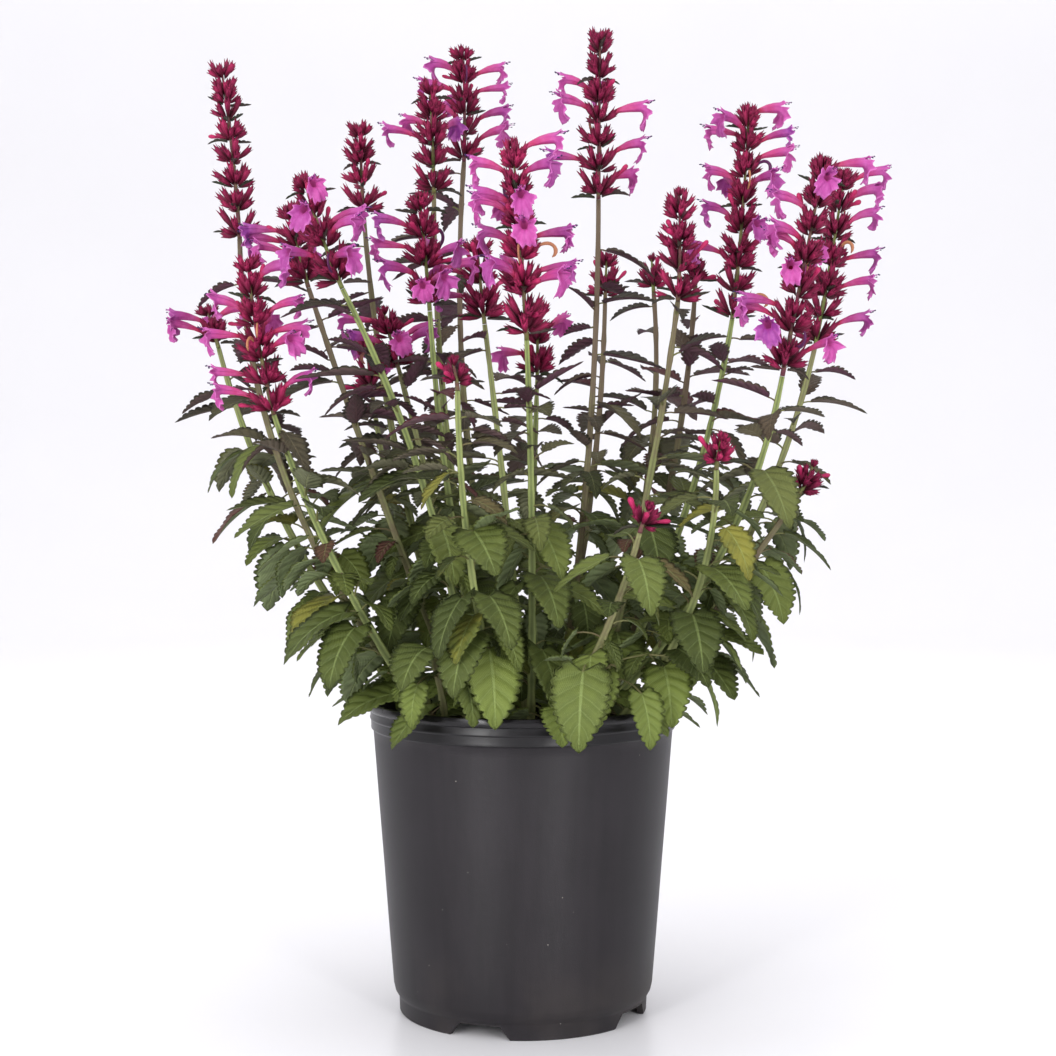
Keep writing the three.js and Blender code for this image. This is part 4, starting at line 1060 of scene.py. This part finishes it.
for number, (name, spec) in enumerate(STEMS.items()):
    chance = np.random.default_rng(500 + number)
    line, length, seat, bulk = head_line(spec)
    whorl_list = main_calyces(spec)
    holders = [holder for whorl in whorl_list for holder in whorl]
    blush = chance.uniform(0.05, 0.45)
    parts, rings = [], []
    for t in np.linspace(0, 1, 24):
        at, along = bow(line, t)
        axes = across(seat if t == 0 else along)
        half = mix(AXIS_HALF_AT_FOOT, AXIS_HALF_AT_TIP, t)
        rings.append([at + half * (a * axes[0] + b * axes[1]) for a, b in STEM_SECTION])
    points, faces = skin(rings)
    add(points, faces, np.tile((0.5, 0, AXIS), (len(points), 1)))

    # Open corollas, each in the calyx that faces its way, then the spent ones
    open_at = set()
    for share, turn in spec[5]:
        level = compass(math.radians(turn))[0]
        fit = [unit(h["aim"] * (1, 1, 0)) @ level - 5 * abs(h["share"] - share) for h in holders]
        best = int(np.argmax(fit))
        open_at.add(best)
        age = chance.uniform()
        for points, faces, marks in corolla(holders[best], level, chance):
            add(points, faces, marks, 0.0, age)
    low_half = [i for i, h in enumerate(holders) if h["share"] < 0.7 and i not in open_at]
    spent = [int(i) for i in chance.permutation(low_half)[:WITHERED.get(name, 0)]]
    for i in spent:
        add(*withered(holders[i], chance))

    # Calyces and bracts, whorl by whorl: the main ones, then more of them where there is most room
    tips = []
    for w, whorl in enumerate(whorl_list):
        share, along, foot = whorl[0]["share"], whorl[0]["along"], whorl[0]["foot"]
        axes = across(along)
        cyme = chance.uniform(-0.3, 0.3) + w * math.pi / 2
        ways = []
        for i, h in enumerate(whorl):
            number_here = w * AXIS_SIDES + i
            steady = number_here in open_at or number_here in spent
            base = foot + h["out"] * 1.1 + along * (0 if steady else chance.uniform(-0.8, 1.6))
            tip = h["tip"] if steady else h["tip"] + chance.normal(0, 0.9, 3)
            way, reach = unit(tip - base), np.linalg.norm(tip - base)
            ways.append(way)
            radius = CALYX_RADIUS * mix(0.6, 1, bulk) * mix(1.05, 0.8, share) * chance.uniform(0.92, 1.1)
            tips.append((add_calyx(base, way, reach, radius, along, blush + chance.uniform(-0.1, 0.2)), way))
        for k in range(7 if share < 0.6 else 6):
            best_gap = -1
            for _ in range(7):
                azimuth = cyme + (k % 2) * math.pi + chance.normal(0, 0.75)
                lean = math.radians(chance.uniform(18, mix(92, 66, share)))
                out = spread(axes, azimuth)
                way = out * math.sin(lean) + along * math.cos(lean)
                gap = min(math.acos(held(way @ other, -1)) for other in ways)
                if gap > best_gap:
                    best_gap, best_way, best_out = gap, way, out
            ways.append(best_way)
            base = foot + best_out * 0.9 + along * chance.uniform(-1.0, 2.0)
            reach = CALYX_REACH * bulk * mix(0.95, 0.62, share) * chance.uniform(0.74, 1.0)
            radius = CALYX_RADIUS * mix(0.6, 1, bulk) * mix(1, 0.76, share) * chance.uniform(0.85, 1.1)
            glow = blush + chance.uniform(-0.15, 0.3)
            tips.append((add_calyx(base, best_way, reach, radius, along, glow), best_way))
        bracts_here = share < spec[4] or w % 3 == 0
        for turn in (0, math.pi) if bracts_here else ():
            out = unit(spread(axes, cyme + turn + chance.uniform(-0.25, 0.25)) * (1, 1, 0))
            size = chance.uniform(0.8, 1.15) * (1.35 if w == 0 else 1.0)
            bract = BRACT_LEAF | dict(
                root=foot + out * 0.6 - along * 1.0, out=out, side=np.array([-out[1], out[0], 0]),
                pitch=math.radians(chance.uniform(-5, 30)), droop=math.radians(chance.uniform(-60, 20)),
                roll=math.radians(chance.uniform(-40, 40)), length=BRACT_LEAF["length"] * size,
                half=BRACT_LEAF["half"] * size)
            points, faces, marks = blade(bract, 3, 3, 0.5, 2)
            add(points, faces, marks * (1, 1, 0) + (0, 0, BRACT))

    # Tight buds that show red in their calyces, and the knot of young calyces at the top
    for i in chance.permutation(len(tips) * 3 // 4)[:TIGHT_BUDS.get(name, 0) + 2]:
        tip, way = tips[i]
        long, radius = chance.uniform(7.5, 11), chance.uniform(1.1, 1.6)
        points = set_along(BUD, tip - way * 4.5, way, UP * 0, long, radius)
        add(points, BUD_FACES, BUD_MARKS, 1.0, 0.9)
    at, along = bow(line, 0.97)
    for k in range(TOP_CALYCES):
        out = spread(across(along), k * 2.4 + chance.uniform(-0.3, 0.3))
        way = unit(out * chance.uniform(0.15, 0.8) + along)
        add_calyx(at - along * 1.5, way, chance.uniform(4.6, 6.6), 0.85, along, blush)
    piece(f"spike_{name}", mesh_of(f"spike_{name}", parts), bloom, "head_" + name)

# ---------------------------------------------------------------------------------------------------------
# Studio
# A pale seamless floor that sweeps up all round, large soft lights from the left, the right, above and on the
# far side, a tall strip at each side that the pot mirrors, and the camera at the photograph's height.

FLOOR_FLAT, FLOOR_SWEEP, FLOOR_HIGH, FLOOR_SIDES = 2.1, 1.5, 2.2, 96
LAMPS = {  # where it stands, where it aims, its width and height in metres, and its power
    "key": ((-1.25, -1.45, 1.35), (0, 0, 0.28), (1.1, 1.5), 15),
    "fill": ((1.2, -1.6, 1.1), (0, 0, 0.28), (0.8, 1.3), 7),
    "strip_left": ((-0.8, -1.4, 0.45), (0, 0, 0.2), (0.22, 0.86), 11.5),
    "strip_right": ((0.72, -1.48, 0.45), (0, 0, 0.2), (0.2, 0.86), 11),
    "top": ((0, 0.3, 2.4), (0, 0, 0), (2.2, 2.2), 30),
    "backdrop": ((0, 1.3, 1.9), (0, 3.5, 0.3), (2.2, 0.8), 15),
}
CAMERA_PLACE, CAMERA_DIP = (0.00265, -1.076, 0.298), 0.0389
FOCAL, SENSOR, NEAREST = 69.14, 36, 0.05

sweep = [
    (0.001, 0), (0.5, 0), (FLOOR_FLAT, 0),
    *((FLOOR_FLAT + FLOOR_SWEEP * math.sin(w), FLOOR_SWEEP * (1 - math.cos(w)))
      for w in np.linspace(0.08, math.pi / 2, 18)),
    (FLOOR_FLAT + FLOOR_SWEEP, FLOOR_HIGH),
]
points, faces = skin([
    [(r * 1000 * math.cos(w), r * 1000 * math.sin(w), z * 1000) for w in np.arange(FLOOR_SIDES) * np.pi / 48]
    for r, z in sweep
], closed=False)
floor = bpy.data.objects.new("studio_floor", mesh_of("studio_floor", [(points, [faces[0][:, ::-1]], {})]))
bpy.context.collection.objects.link(floor)
paper, place, surface = finish("studio_paper", Specular_IOR_Level=0.5, Roughness=0.32)
place.noise(3, 2, 0.5).between("#e5e4e7", "#e9e8eb").into(surface, "Base Color")
floor.data.materials.append(paper)

for name, (at, aim, (wide, tall), power) in LAMPS.items():
    lamp = bpy.data.lights.new(name, "AREA")
    lamp.shape, lamp.size, lamp.size_y, lamp.energy = "RECTANGLE", wide, tall, power
    softbox = bpy.data.objects.new(name, lamp)
    bpy.context.collection.objects.link(softbox)
    softbox.location = at
    way = np.array(aim) - np.array(at)
    dip = math.atan2(math.hypot(way[0], way[1]), -way[2])
    softbox.rotation_euler = (dip, 0, math.atan2(way[1], way[0]) - math.pi / 2)

sky = bpy.data.worlds.new("studio_air")
sky.use_nodes = True
sky.node_tree.nodes["Background"].inputs["Color"].default_value = dye("#f6f6f8")
sky.node_tree.nodes["Background"].inputs["Strength"].default_value = 0.8
bpy.context.scene.world = sky
bpy.context.scene.view_settings.view_transform = "Standard"

lens = bpy.data.cameras.new("camera")
lens.lens, lens.sensor_width, lens.clip_start = FOCAL, SENSOR, NEAREST
camera = bpy.data.objects.new("camera", lens)
bpy.context.collection.objects.link(camera)
camera.location = CAMERA_PLACE
camera.rotation_euler = (math.pi / 2 - CAMERA_DIP, 0, 0)
bpy.context.scene.camera = camera
